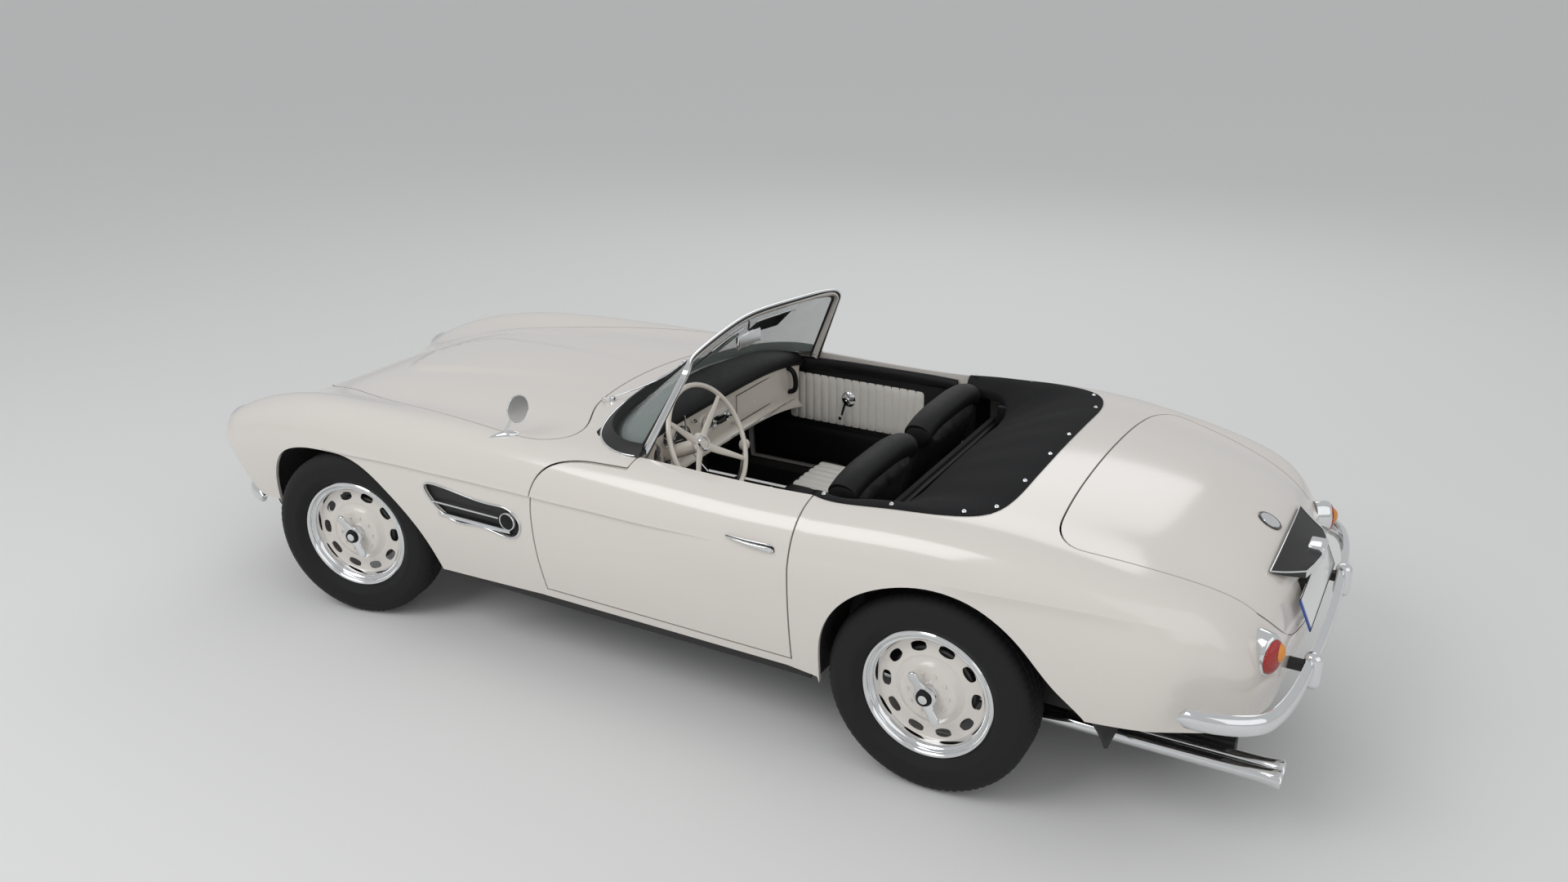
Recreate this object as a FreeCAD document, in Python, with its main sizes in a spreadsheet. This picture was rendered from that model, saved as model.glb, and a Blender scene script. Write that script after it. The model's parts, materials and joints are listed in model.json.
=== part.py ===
import FreeCAD, Part
import math
import os

# Open two-seat roadster with folding hood stowed, built from skin panels cut out of one
# smooth body form. Millimetres, +X forward, +Y left, +Z up, origin on the ground below the
# middle of the car. The front wheels stand steered a little to the left.

V = FreeCAD.Vector
doc = FreeCAD.newDocument("Roadster")
sheet = doc.addObject("Spreadsheet::Sheet", "Sizes")

sizes = {
    "nose_reach": 2190, "tail_reach": 2190,
    "kingpin_x": 1378, "rear_axle_x": -1110, "kingpin_y": 648,
    "front_track_half": 722.5, "rear_track_half": 712.5, "steer_rest": 12,
    "axle_height": 345, "tyre_radius": 345, "tyre_width": 176, "rim_radius": 222,
    "half_width": 828, "waist_height": 715, "crest_height": 910, "deck_height": 930,
    "hem_height": 270, "panel_wall": 20, "panel_gap": 6, "seat_gap": 0.3,
    "door_front": 404, "door_back": -641, "door_foot": 354, "door_inner_y": 672,
    "door_bevel": 15, "door_trim": 18, "sill_foot": 318,
    "cockpit_half": 664, "well_half": 700, "well_back": -1262,
    "floor_height": 250, "floor_wall": 12, "tunnel_half": 130, "tunnel_height": 500,
    "tunnel_back": -526, "tunnel_tail_height": 445,
    "bulkhead_x": 560, "rear_bulkhead_x": -800,
    "screen_wall": 16, "glass_wall": 6, "screen_base_z": 925, "screen_top_z": 1246,
    "screen_base_x": 335, "screen_top_x": -35, "pillar_base_x": 20, "pillar_top_x": -135,
    "pillar_base_y": 650, "pillar_top_y": 578,
    "seat_width": 500, "seat_inner_y": 52, "cushion_front": -90, "cushion_length": 440,
    "back_wall": 120,
    "back_rake": 17, "steering_wheel_radius": 212, "steering_rim": 12,
    "column_rake": 25, "steering_y": 355, "steering_x": -60, "steering_z": 858,
    "bonnet_hinge_x": 2034, "boot_hinge_x": -1405,
}
for row, (name, value) in enumerate(sizes.items(), start=1):
    sheet.set("A%d" % row, name)
    sheet.set("B%d" % row, str(value))
    sheet.setAlias("B%d" % row, name)
doc.recompute()


def size(name):
    return float(sheet.get(name))


nodes = {}


def node(name, item):
    item.Label = name
    nodes[name] = item
    return item


def solid(name, shape):
    item = doc.addObject("Part::Feature", name)
    item.Shape = shape
    return item


def cut(name, base, *tools):
    item = doc.addObject("Part::Cut", name)
    item.Base = base
    item.Tool = tools[0] if len(tools) == 1 else group(name + "_tools", *tools)
    return item


def common(name, base, tool):
    item = doc.addObject("Part::Common", name)
    item.Base = base
    item.Tool = tool
    return item


def group(name, *parts):
    item = doc.addObject("Part::MultiFuse", name)
    item.Shapes = list(parts)
    return item


def place(item, x="0", y="0", z="0"):
    for axis, rule in zip("xyz", (x, y, z)):
        item.setExpression("Placement.Base." + axis, rule)
    return item


def box(name, length, width, height, x, y, z):
    item = doc.addObject("Part::Box", name)
    item.setExpression("Length", length)
    item.setExpression("Width", width)
    item.setExpression("Height", height)
    return place(item, x, y, z)


def drum(name, radius, height, x, y, z, axis=V(0, 0, 1)):
    item = doc.addObject("Part::Cylinder", name)
    item.setExpression("Radius", radius)
    item.setExpression("Height", height)
    item.Placement.Rotation = FreeCAD.Rotation(V(0, 0, 1), axis)
    return place(item, x, y, z)


def prism(name, points, direction):
    points = [V(*p) for p in points]
    wire = Part.makePolygon(points + [points[0]])
    return solid(name, Part.Face(wire).extrude(V(*direction)))


def rounded(points, radius):
    # A closed polygon with each corner cut by an arc of the given radius.
    edges = []
    ends = []
    count = len(points)
    for i in range(count):
        here, before, after = V(*points[i]), V(*points[i - 1]), V(*points[(i + 1) % count])
        to_before = (before - here).normalize()
        to_after = (after - here).normalize()
        turn = to_before.getAngle(to_after)
        reach = min(radius / math.tan(turn / 2), 0.45 * (before - here).Length,
                    0.45 * (after - here).Length)
        start, end = here + to_before * reach, here + to_after * reach
        middle = (to_before + to_after).normalize()
        distance = reach / math.cos(turn / 2)
        true_radius = reach * math.tan(turn / 2)
        arc = Part.Arc(start, here + middle * (distance - true_radius), end).toShape()
        ends.append((start, end, arc))
    for i in range(count):
        edges.append(ends[i][2])
        edges.append(Part.LineSegment(ends[i][1], ends[(i + 1) % count][0]).toShape())
    return Part.Wire(edges)


def rounded_prism(name, points, radius, direction):
    return solid(name, Part.Face(rounded(points, radius)).extrude(V(*direction)))


def turned(name, profile, base, axis):
    # A ring or disc revolved about an axle; profile points are (radius, distance outward).
    axis = V(*axis)
    across = V(1, 0, 0)
    points = [V(*base) + across * r + axis * s for r, s in profile]
    face = Part.Face(Part.makePolygon(points + [points[0]]))
    return solid(name, face.revolve(V(*base), axis, 360))


# Body form. Each rail runs from below the nose, over the car to below the tail; a rail gives
# (x, y, z) at the numbered stations its shape needs, and a smooth curve joins them.

half_width, waist, crest, deck, hem = (size(n) for n in (
    "half_width", "waist_height", "crest_height", "deck_height", "hem_height"))
front_x, rear_x = size("kingpin_x"), size("rear_axle_x")
nose, tail = size("nose_reach"), -size("tail_reach")

rails = {
    "centre": {0: (nose - 180, 0, hem), 1: (nose - 105, 0, 400), 2: (nose - 60, 0, 535),
               3: (nose - 100, 0, 630), 4: (front_x + 482, 0, deck - 168),
               5: (front_x + 242, 0, deck - 92), 6: (front_x - 8, 0, deck - 54),
               7: (1000, 0, deck - 22), 8: (600, 0, deck - 9), 9: (250, 0, deck - 2),
               10: (-200, 0, deck), 11: (-650, 0, deck + 5), 12: (rear_x, 0, deck + 16),
               13: (rear_x - 390, 0, deck - 8), 14: (rear_x - 690, 0, deck - 62),
               15: (tail + 205, 0, deck - 135), 16: (tail + 112, 0, 690), 17: (tail + 72, 0, 560),
               18: (tail + 88, 0, 420), 19: (tail + 140, 0, hem)},
    "valley": {0: (nose - 230, 470, hem), 1: (nose - 125, 500, 430), 2: (nose - 38, 500, 585),
               3: (nose - 92, 500, 690), 4: (front_x + 482, 430, deck - 176),
               5: (front_x + 242, 500, deck - 110), 6: (front_x - 8, 578, deck - 84),
               7: (1000, 612, deck - 58), 8: (600, 640, deck - 40), 9: (250, 640, deck - 28),
               10: (-200, 630, deck - 30), 11: (-650, 620, deck - 28), 12: (rear_x, 600, deck - 6),
               13: (rear_x - 390, 580, deck - 44), 14: (rear_x - 690, 545, deck - 108),
               15: (tail + 224, 505, deck - 178), 16: (tail + 142, 480, 655),
               17: (tail + 104, 455, 540), 18: (tail + 118, 445, 410), 19: (tail + 160, 420, hem)},
    "crest": {0: (nose - 275, 588, hem), 1: (nose - 130, 610, 460), 2: (nose, 602, 612),
              3: (nose - 82, 618, 724), 4: (front_x + 485, 668, crest - 92),
              5: (front_x + 242, 690, crest - 42), 6: (front_x - 8, 702, crest - 15),
              7: (1000, 708, crest - 3), 8: (600, 710, crest), 9: (250, 709, crest - 8),
              10: (-200, 706, crest - 20), 11: (-650, 708, crest - 20), 12: (rear_x, 706, crest + 13),
              13: (rear_x - 390, 686, crest - 22), 14: (rear_x - 690, 648, crest - 80),
              15: (tail + 240, 605, crest - 152), 16: (tail + 165, 568, 655),
              17: (tail + 134, 538, 530), 18: (tail + 150, 528, 400), 19: (tail + 192, 515, hem)},
    "waist": {0: (nose - 340, 662, hem), 1: (nose - 215, 722, 440), 2: (nose - 150, 752, 560),
              3: (nose - 208, 762, 640), 4: (front_x + 425, half_width - 50, 668),
              5: (front_x + 232, half_width - 29, waist - 18),
              6: (front_x - 8, half_width - 18, waist - 12), 7: (1000, half_width - 7, waist - 17),
              8: (600, half_width - 3, waist - 4), 9: (250, half_width - 1, waist),
              10: (-200, half_width, waist + 8), 11: (-650, half_width, waist + 8),
              12: (rear_x, half_width, waist + 28), 13: (rear_x - 390, half_width - 24, waist - 12),
              14: (rear_x - 680, half_width - 62, 655), 15: (tail + 300, 722, 620),
              16: (tail + 232, 680, 560), 17: (tail + 212, 650, 470), 18: (tail + 224, 630, 375),
              19: (tail + 245, 592, hem)},
    "hem": {0: (nose - 480, 708, hem), 2: (nose - 560, 722, hem), 4: (front_x + 170, 736, hem),
            6: (front_x - 90, 752, hem), 8: (600, half_width - 64, hem), 10: (-200, half_width - 60, hem),
            12: (rear_x, half_width - 60, hem), 14: (rear_x - 540, 728, hem),
            16: (tail + 430, 690, hem), 19: (tail + 340, 655, hem)},
}
station_count = 20


def rail_curve(rail):
    curve = Part.BSplineCurve()
    keys = sorted(rail)
    curve.interpolate(Points=[V(*rail[k]) for k in keys], Parameters=[float(k) for k in keys])
    return curve


rail_curves = {name: rail_curve(rail) for name, rail in rails.items()}


def section(station):
    # Points across the left half at one station, from the centre line down to the hem.
    centre, valley, top, waist_point, foot = (rail_curves[n].value(station) for n in (
        "centre", "valley", "crest", "waist", "hem"))
    row = [centre]
    for share in (0.4, 0.74):
        point = centre + (valley - centre) * share
        point.z = centre.z + (valley.z - centre.z) * share ** 2
        row.append(point)
    row += [valley, (valley + top) * 0.5, top]
    for degrees in (32, 61):
        angle = math.radians(degrees)
        row.append(V(waist_point.x + (top.x - waist_point.x) * math.cos(angle),
                     top.y + (waist_point.y - top.y) * math.sin(angle),
                     waist_point.z + (top.z - waist_point.z) * math.cos(angle)))
    row.append(waist_point)
    for share in (0.36, 0.7):
        point = waist_point + (foot - waist_point) * share
        power = 1 if station in (0, station_count - 1) else 2
        point.x = waist_point.x + (foot.x - waist_point.x) * share ** power
        point.y = waist_point.y + (foot.y - waist_point.y) * share ** power
        row.append(point)
    row.append(foot)
    return row


def evenly(points, count):
    # The smooth curve through the points, divided into equal lengths.
    curve = Part.BSplineCurve()
    curve.interpolate(points)
    return curve.toShape().discretize(Number=count)


def full_row(row):
    return [V(p.x, -p.y, p.z) for p in reversed(row[1:])] + row


def skin_surface(rows):
    # A smooth cubic surface that the grid of points steers from close by.
    grid = [full_row(row) for row in rows]
    spans_u, spans_v = len(grid) - 3, len(grid[0]) - 3
    surface = Part.BSplineSurface()
    surface.buildFromPolesMultsKnots(
        grid, [4] + [1] * (spans_u - 1) + [4], [4] + [1] * (spans_v - 1) + [4],
        list(range(spans_u + 1)), list(range(spans_v + 1)), False, False, 3, 3)
    return surface


points_across = 16
row_step = 0.5
row_count = int((station_count - 1) / row_step) + 1
rows = [evenly(section(i * row_step), points_across) for i in range(row_count)]
for row in rows:
    row[0].y = 0
    row[-1].z = hem
for row in (rows[0], rows[-1]):
    for point in row:
        point.z = hem
skin = skin_surface(rows)


def inset(rows, wall, floor):
    # The rows moved inward along the skin's normal, with the hem dropped to the given floor.
    u, v = skin.parameter(V(0, 0, 2000))
    inward = -1 if skin.normal(u, v).z > 0 else 1
    moved = []
    for i, row in enumerate(rows):
        line = []
        for j, point in enumerate(row):
            at_end = i in (0, len(rows) - 1)
            if at_end or j == len(row) - 1:
                if at_end and j < len(row) - 1:
                    along = row[j + 1] - row[max(j - 1, 0)]
                    if j == 0:
                        along = V(0, 1, 0)
                    along = along if i == 0 else along * -1
                else:
                    ahead = rows[max(i - 1, 0)][-1]
                    behind = rows[min(i + 1, len(rows) - 1)][-1]
                    along = behind - ahead
                outward = V(along.y, -along.x, 0).normalize()
                inner = point - outward * wall
                inner.z = floor
            else:
                inner = point + skin.normal(*skin.parameter(point)) * wall * inward
            if j == 0:
                inner.y = 0
            line.append(inner)
        moved.append(line)
    return moved


def closed_form(surface):
    face = surface.toShape()
    rim = Part.Face(Part.Wire(Part.__sortEdges__(face.Edges)))
    shell = Part.Shell([face, rim])
    form = Part.Solid(shell)
    if form.Volume < 0:
        form.reverse()
    return form


body_form = solid("body_form", closed_form(skin))
inner_skin = skin_surface(inset(rows, size("panel_wall"), hem - 25))
inner_form = solid("inner_form", closed_form(inner_skin))
skin_shell = cut("skin_shell", body_form, inner_form)


def skin_hit(start, end):
    # Where a straight line from start first meets the outer skin.
    line = Part.LineSegment(V(*start), V(*end))
    hits = [p for p in body_form.Shape.Faces[0].common(line.toShape()).Vertexes]
    if not hits:
        hits = body_form.Shape.common(line.toShape()).Vertexes
    return min((v.Point for v in hits), key=lambda p: (p - V(*start)).Length)


def skin_side(x, z):
    return skin_hit((x, 1200, z), (x, 0, z)).y


def skin_top(x, y):
    return skin_hit((x, y, 1400), (x, y, hem + 5)).z


# Shut lines and openings, cut straight through the skin.

gap = size("panel_gap")
seat_gap = size("seat_gap")
front, back, foot = size("door_front"), size("door_back"), size("door_foot")
high = 1100


def pushed(points, grow):
    # A closed outline moved outward by a fixed distance, keeping its number of points.
    area = sum(p[0] * q[1] - q[0] * p[1] for p, q in zip(points, points[1:] + points[:1]))
    side = 1 if area > 0 else -1
    moved = []
    for i, (x, y) in enumerate(points):
        before, after = points[i - 1], points[(i + 1) % len(points)]
        first = V(x - before[0], y - before[1], 0).normalize()
        second = V(after[0] - x, after[1] - y, 0).normalize()
        middle = first + second
        outward = V(middle.y, -middle.x, 0).normalize() * side
        reach = grow / max(0.5, math.cos(first.getAngle(second) / 2))
        moved.append((x + outward.x * reach, y + outward.y * reach))
    return moved


def both_sides(half):
    # The left half of an outline, from the middle round to the middle, and its mirror image.
    return half + [(x, -y) for x, y in reversed(half[1:-1])]


door_curve = [(front - 31, foot), (front - 18, 480), (front - 7, 610), (front, 712),
              (front - 12, 768), (front - 52, 808), (front - 120, 829), (190, 846), (12, 868)]
door_rest = [(6, high), (back - 24, high), (back - 12, 860), (back, 705), (back + 6, foot)]

hinge_x, boot_x = size("bonnet_hinge_x"), size("boot_hinge_x")
bonnet_line = both_sides([(hinge_x, 0), (hinge_x - 12, 110), (hinge_x - 62, 228),
                          (hinge_x - 150, 322), (hinge_x - 270, 398), (1600, 470), (1317, 560),
                          (1040, 618), (730, 676), (550, 702), (420, 694), (350, 640), (340, 575),
                          (368, 490), (417, 395), (462, 230), (478, 0)])
boot_line = both_sides([(boot_x, 0), (boot_x - 0.7, 125), (boot_x - 3, 250), (boot_x - 7, 360),
                        (boot_x - 14, 470), (boot_x - 40, 578),
                        (boot_x - 86, 622), (boot_x - 150, 616), (boot_x - 330, 566),
                        (boot_x - 530, 492), (boot_x - 640, 440), (boot_x - 800, 350),
                        (boot_x - 900, 200), (boot_x - 930, 0)])
boot_back_line = [(y, x) for x, y in both_sides([(566, 0), (572, 200), (606, 330), (690, 432),
                                                 (790, 530), (950, 680), (1150, 600), (1250, 0)])]


def smooth_prism(name, outline, level, direction, plane):
    # A prism whose outline is one closed smooth curve; plane places the two coordinates.
    curve = Part.BSplineCurve()
    curve.interpolate([plane(a, b, level) for a, b in outline], PeriodicFlag=True)
    return solid(name, Part.Face(Part.Wire([curve.toShape()])).extrude(V(*direction)))


def plan_smooth(name, outline, low, tall):
    return smooth_prism(name, outline, low, (0, 0, tall), lambda x, y, z: V(x, y, z))


def boot_prism(name, grow):
    plan = plan_smooth(name + "_plan", pushed(boot_line, grow), 400, 800)
    rear = smooth_prism(name + "_rear", pushed(boot_back_line, grow), -1300, (-1200, 0, 0),
                        lambda y, z, x: V(x, y, z))
    return common(name, plan, rear)


def door_prism(name, grow, near, far):
    # Side view: a smooth leading edge that curls back under the shoulder, then straight edges.
    outline = pushed(door_curve + door_rest, grow)
    smooth = outline[:len(door_curve)]
    curve = Part.BSplineCurve()
    curve.interpolate([V(x, near, z) for x, z in smooth])
    rest = [smooth[-1]] + outline[len(door_curve):] + [smooth[0]]
    wire = Part.Wire([curve.toShape()] + Part.makePolygon([V(x, near, z) for x, z in rest]).Edges)
    return solid(name, Part.Face(wire).extrude(V(0, far - near, 0)))


def plan_prism(name, half, low, tall):
    both = half + [(x, -y) for x, y in reversed(half) if y != 0]
    return prism(name, [(x, y, low) for x, y in both], (0, 0, tall))


def side_prism(name, outline, near, far):
    wire = Part.makePolygon([V(x, near, z) for x, z in outline + outline[:1]])
    return solid(name, Part.Face(wire).extrude(V(0, far - near, 0)))


def arch_prism(name, points, near, far):
    curve = Part.BSplineCurve()
    curve.interpolate([V(x, near, z) for x, z in points])
    wire = Part.Wire([curve.toShape(), Part.makeLine(curve.EndPoint, curve.StartPoint)])
    return solid(name, Part.Face(wire).extrude(V(0, far - near, 0)))


front_arch = [(1812, 180), (1800, 400), (1765, 545), (1709, 626), (1606, 676), (1442, 698),
              (1269, 680), (1112, 592), (964, 448), (902, 300), (880, 180)]
rear_arch = [(-722, 180), (-736, 324), (-756, 490), (-842, 630), (-1008, 723), (-1140, 742),
             (-1273, 710), (-1405, 620), (-1520, 490), (-1610, 400), (-1660, 180)]
arches = group("arches", arch_prism("front_arch_left", front_arch, 560, 1000),
               arch_prism("front_arch_right", front_arch, -560, -1000),
               arch_prism("rear_arch_left", rear_arch, 560, 1000),
               arch_prism("rear_arch_right", rear_arch, -560, -1000))

past_nose, past_tail = nose + 110, tail - 110
hem_line = [(past_nose, 398), (2000, 385), (1805, 392), (1795, 100), (920, 100), (900, 296),
            (408, size("sill_foot") - 1), (-619, size("sill_foot")), (-728, 304), (-760, 100),
            (-1560, 100), (-1600, 402), (-1900, 410), (past_tail, 420), (past_tail, 0),
            (past_nose, 0)]
under = side_prism("under", hem_line, -1000, 1000)

well_back, well_half = size("well_back"), size("well_half")
cockpit = size("cockpit_half")
opening = [(310, 0), (300, 200), (258, 400), (196, 560), (120, cockpit - 26), (20, cockpit),
           (-300, cockpit), (back, cockpit + 4), (back - 70, cockpit + 22), (-950, well_half - 22),
           (-1120, well_half - 44), (well_back + 40, 590), (well_back + 12, 500),
           (well_back, 300), (well_back, 0)]
cockpit_hole = plan_prism("cockpit_hole", opening, 500, 700)

door_hole = group("door_hole", door_prism("door_hole_left", gap, 560, 1000),
                  door_prism("door_hole_right", gap, -560, -1000))
bonnet_hole = plan_smooth("bonnet_hole", pushed(bonnet_line, gap), 500, 600)
boot_hole = boot_prism("boot_hole", gap)

grille_half = [(60, 575), (95, 470), (150, 448), (400, 455), (440, 500), (425, 560), (330, 585)]
grille_hole = group("grille_hole", *[
    prism("grille_hole_" + side, [(nose - 350, sign * y, z) for y, z in grille_half], (400, 0, 0))
    for side, sign in (("left", 1), ("right", -1))])

lamp_x, lamp_y, lamp_z = nose - 45, 602, 612
lamp_radius = 92
lamp_hole = group("lamp_hole", *[
    drum("lamp_hole_" + side, str(lamp_radius + 3), "160", str(lamp_x - 110), str(sign * lamp_y),
         str(lamp_z), V(1, 0, 0)) for side, sign in (("left", 1), ("right", -1))])

openings = group("openings", arches, under, cockpit_hole, door_hole, bonnet_hole, boot_hole,
                 grille_hole, lamp_hole)
fixed_skin = cut("fixed_skin", skin_shell, openings)
doc.recompute()


# Fixed panels, parted where the real ones meet.

def region(name, x0, x1, y0, y1, z0, z1):
    item = doc.addObject("Part::Box", name)
    item.Length, item.Width, item.Height = x1 - x0, y1 - y0, z1 - z0
    item.Placement.Base = V(x0, y0, z0)
    return item


nose_split, scuttle_split, deck_split, tail_split = 470, 585, 560, 470
nose_back = hinge_x - 334
nose_zone = region("nose_zone", nose_back, past_nose, -nose_split, nose_split, 200, 1000)
scuttle_zone = region("scuttle_zone", 100, 600, -scuttle_split, scuttle_split, 700, 1000)
deck_zone = region("deck_zone", -1600, well_back + 200, -deck_split, deck_split, 800, 1000)
tail_zone = region("tail_zone", past_tail, boot_x - 495, -tail_split, tail_split, 200, 800)
sill_top = foot - gap
sill_zone = region("sill_zone", back - 30, front + 20, -1000, 1000, 200, sill_top)
middle_zones = group("middle_zones", nose_zone, scuttle_zone, deck_zone, tail_zone, sill_zone)

node("nose_panel", common("nose_panel", fixed_skin, nose_zone))
node("scuttle_panel", common("scuttle_panel", fixed_skin, scuttle_zone))
node("rear_deck", common("rear_deck", fixed_skin, deck_zone))
node("tail_panel", common("tail_panel", fixed_skin, tail_zone))
side_skin = cut("side_skin", fixed_skin, middle_zones)
for side, sign in (("left", 1), ("right", -1)):
    y0, y1 = min(0, sign * 1000), max(0, sign * 1000)
    front_zone = region("front_zone_" + side, -100, past_nose, y0, y1, 200, 1000)
    rear_zone = region("rear_zone_" + side, past_tail, -100, y0, y1, 200, 1000)
    node("front_wing_" + side, common("front_wing_" + side, side_skin, front_zone))
    node("rear_wing_" + side, common("rear_wing_" + side, side_skin, rear_zone))

sill_skin = common("sill_skin", fixed_skin, sill_zone)
sill_in, sill_out = 600, 752
posts = []
for side, sign in (("left", 1), ("right", -1)):
    y0, y1 = sorted((sign * sill_in, sign * sill_out))
    posts.append(region("sill_beam_" + side, -690, 850, y0, y1, 262, sill_top))
    y0, y1 = sorted((sign * 640, sign * 900))
    posts.append(region("hinge_post_" + side, front + 2 * gap, front + 60, y0, y1, 300, 862))
    posts.append(region("latch_post_" + side, back - 62, back - 14, y0, y1, 300, 862))
post_group = group("post_group", *posts)
post_body = common("post_body", post_group, inner_form)
node("sill_frames", group("sill_frames", sill_skin, post_body))

# Opening panels.

pin_radius = gap / 2 - 0.15
pin_shift = gap / 2 - 0.45


def hinge_pins(name, x, ys, length):
    # Short pins across the car, sunk in the shut line at the hinged edge.
    pins = []
    for i, y in enumerate(ys):
        z = skin_top(x, y) - pin_radius
        pin = Part.makeCylinder(pin_radius, length, V(x, y - length / 2, z), V(0, 1, 0))
        pins.append(solid("%s_%d" % (name, i), pin))
    return pins


bonnet_pins = hinge_pins("bonnet_pin", hinge_x + pin_shift, (-8, 8), 12)
bonnet_skin = common("bonnet_skin", skin_shell, plan_smooth("bonnet_plan", bonnet_line, 500, 600))

# The bonnet's leading edge is thinned from below, so that it swings up past the nose.
edge_wall, edge_width = 9, 16
edge_form = solid("edge_form", body_form.Shape.copy())
edge_form.Placement.Base = V(0, 0, -edge_wall)
edge_ring = cut("edge_ring", region("edge_zone", nose_back, nose, -nose_split, nose_split, 500, 1000),
                plan_smooth("edge_inner", pushed(bonnet_line, -edge_width), 400, 800))
node("bonnet", group("bonnet", cut("bonnet_thinned", bonnet_skin,
                                   common("edge_under", edge_ring, edge_form)), *bonnet_pins))
boot_pins = hinge_pins("boot_pin", boot_x + pin_shift, (-10, 10), 14)
node("boot_lid", group("boot_lid", common("boot_skin", skin_shell,
                                        boot_prism("boot_solid", 0.5)),
                       *boot_pins))

door_inner = size("door_inner_y")
hinge_y = skin_side(front, waist) - pin_radius
bevel = size("door_bevel")
trim_wall = size("door_trim")
door_handle_x, door_handle_z = -505, 760
for side, sign in (("left", 1), ("right", -1)):
    block = door_prism("door_block_" + side, 0, sign * door_inner, sign * 1000)
    raw = common("door_raw_" + side, body_form, block)
    wedge = prism("door_wedge_" + side,
                  [(back - 40, sign * 640, 200), (back + bevel + 6, sign * 640, 200),
                   (back + bevel, sign * door_inner, 200), (back, sign * half_width, 200),
                   (back - 40, sign * half_width, 200)], (0, 0, 900))
    pin = Part.makeCylinder(pin_radius, 14, V(front + pin_shift, sign * hinge_y, 705))
    pin = solid("door_pin_" + side, pin)
    node("door_" + side, group("door_" + side, cut("door_cut_" + side, raw, wedge), pin))
    y0, y1 = sorted((sign * (door_inner - trim_wall), sign * door_inner))
    outline = [(front - 60, foot + 20), (front - 45, 700), (front - 110, 800), (40, 845),
               (30, 872), (back + 50, 868), (back + 40, 700), (back + 36, foot + 20)]
    node("door_trim_" + side, side_prism("door_trim_" + side, outline, y0, y1))
    seat = skin_side(door_handle_x, door_handle_z)
    grip = region("grip_" + side, door_handle_x - 90, door_handle_x + 90,
                  *sorted((sign * (seat - 15), sign * (seat + 26))), door_handle_z - 9,
                  door_handle_z + 9)
    recess = region("grip_recess_" + side, door_handle_x - 70, door_handle_x + 60,
                    *sorted((sign * (seat - 15), sign * (seat + 14))), door_handle_z - 20,
                    door_handle_z + 20)
    node("door_handle_" + side, cut("door_handle_" + side, grip, group("handle_cut_" + side,
                                                                      recess, body_form)))

# Floor, bulkheads, wheel housings and frame.

floor_z, floor_wall = size("floor_height"), size("floor_wall")
floor_top = floor_z + floor_wall
rail_in, rail_out, rail_foot = 370, 430, 190
rail_top = floor_z
housing_in = 560
narrow_x = -700
node("floor_pan", group(
    "floor_pan",
    region("floor_plate", narrow_x, size("bulkhead_x"), -sill_in, sill_in, floor_z, floor_top),
    region("floor_back", size("rear_bulkhead_x"), narrow_x, -housing_in, housing_in, floor_z,
           floor_top),
    box("tunnel", "Sizes.bulkhead_x - Sizes.tunnel_back", "2 * Sizes.tunnel_half",
        "Sizes.tunnel_height - Sizes.floor_height", "Sizes.tunnel_back", "-Sizes.tunnel_half",
        "Sizes.floor_height"),
    box("tunnel_tail", "Sizes.tunnel_back - Sizes.rear_bulkhead_x", "2 * Sizes.tunnel_half",
        "Sizes.tunnel_tail_height - Sizes.floor_height", "Sizes.rear_bulkhead_x",
        "-Sizes.tunnel_half", "Sizes.floor_height"),
    region("front_bulkhead", size("bulkhead_x"), size("bulkhead_x") + floor_wall, -sill_in,
           sill_in, floor_z, 850),
    region("rear_bulkhead", size("rear_bulkhead_x") - floor_wall, size("rear_bulkhead_x"),
           -housing_in, housing_in, floor_z, 500),
    region("boot_floor", -1940, size("rear_bulkhead_x"), -housing_in, housing_in, 470, 482)))


def grown(points, centre_x, centre_z, grow):
    # Outline pushed out from the wheel centre by a fixed distance.
    result = []
    for x, z in points:
        away = V(x - centre_x, 0, z - centre_z)
        if z > 200:
            away = away * (1 + grow / away.Length)
        else:
            away.x += math.copysign(grow, away.x)
        result.append((centre_x + away.x, centre_z + away.z))
    return result


axle_z = size("axle_height")
liners = []
liner_wall = 8
for name, outline, centre_x, inner_y, room in (("front", front_arch, front_x, 430, 28),
                                               ("rear", rear_arch, rear_x, housing_in, 6)):
    for side, sign in (("left", 1), ("right", -1)):
        tag = name + "_" + side
        outer = arch_prism("liner_outer_" + tag,
                           grown(outline, centre_x, axle_z, room + liner_wall),
                           sign * inner_y, sign * 900)
        inner = arch_prism("liner_inner_" + tag, grown(outline, centre_x, axle_z, room),
                           sign * (inner_y + liner_wall), sign * 900)
        liners.append(common("liner_" + tag, cut("liner_bare_" + tag, outer, inner), inner_form))
liner_group = group("liner_group", *liners)
arm_slots = region("arm_slots", front_x - 120, front_x + 120, -1000, 1000, 200, 480)
axle_slots = region("axle_slots", rear_x - 60, rear_x + 60, -1000, 1000, 200, 420)
low_cut = region("low_cut", past_tail, past_nose, -1000, 1000, 0, 300)
node("wheel_housings", cut("wheel_housings", liner_group, arm_slots, axle_slots, low_cut))

frame_parts = []
for side, sign in (("left", 1), ("right", -1)):
    y0, y1 = sorted((sign * rail_in, sign * rail_out))
    frame_parts.append(region("rail_" + side, -1990, 1900, y0, y1, rail_foot, rail_top))
for name, x in (("front", 1840), ("engine", 1000), ("middle", 100), ("back", -760), ("tail", -1960)):
    frame_parts.append(region("cross_" + name, x, x + 60, -rail_in, rail_in, rail_foot + 10,
                              rail_top - 10))
node("chassis_frame", group("chassis_frame", *frame_parts))

# Front suspension, knuckles, rear axle.

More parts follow.
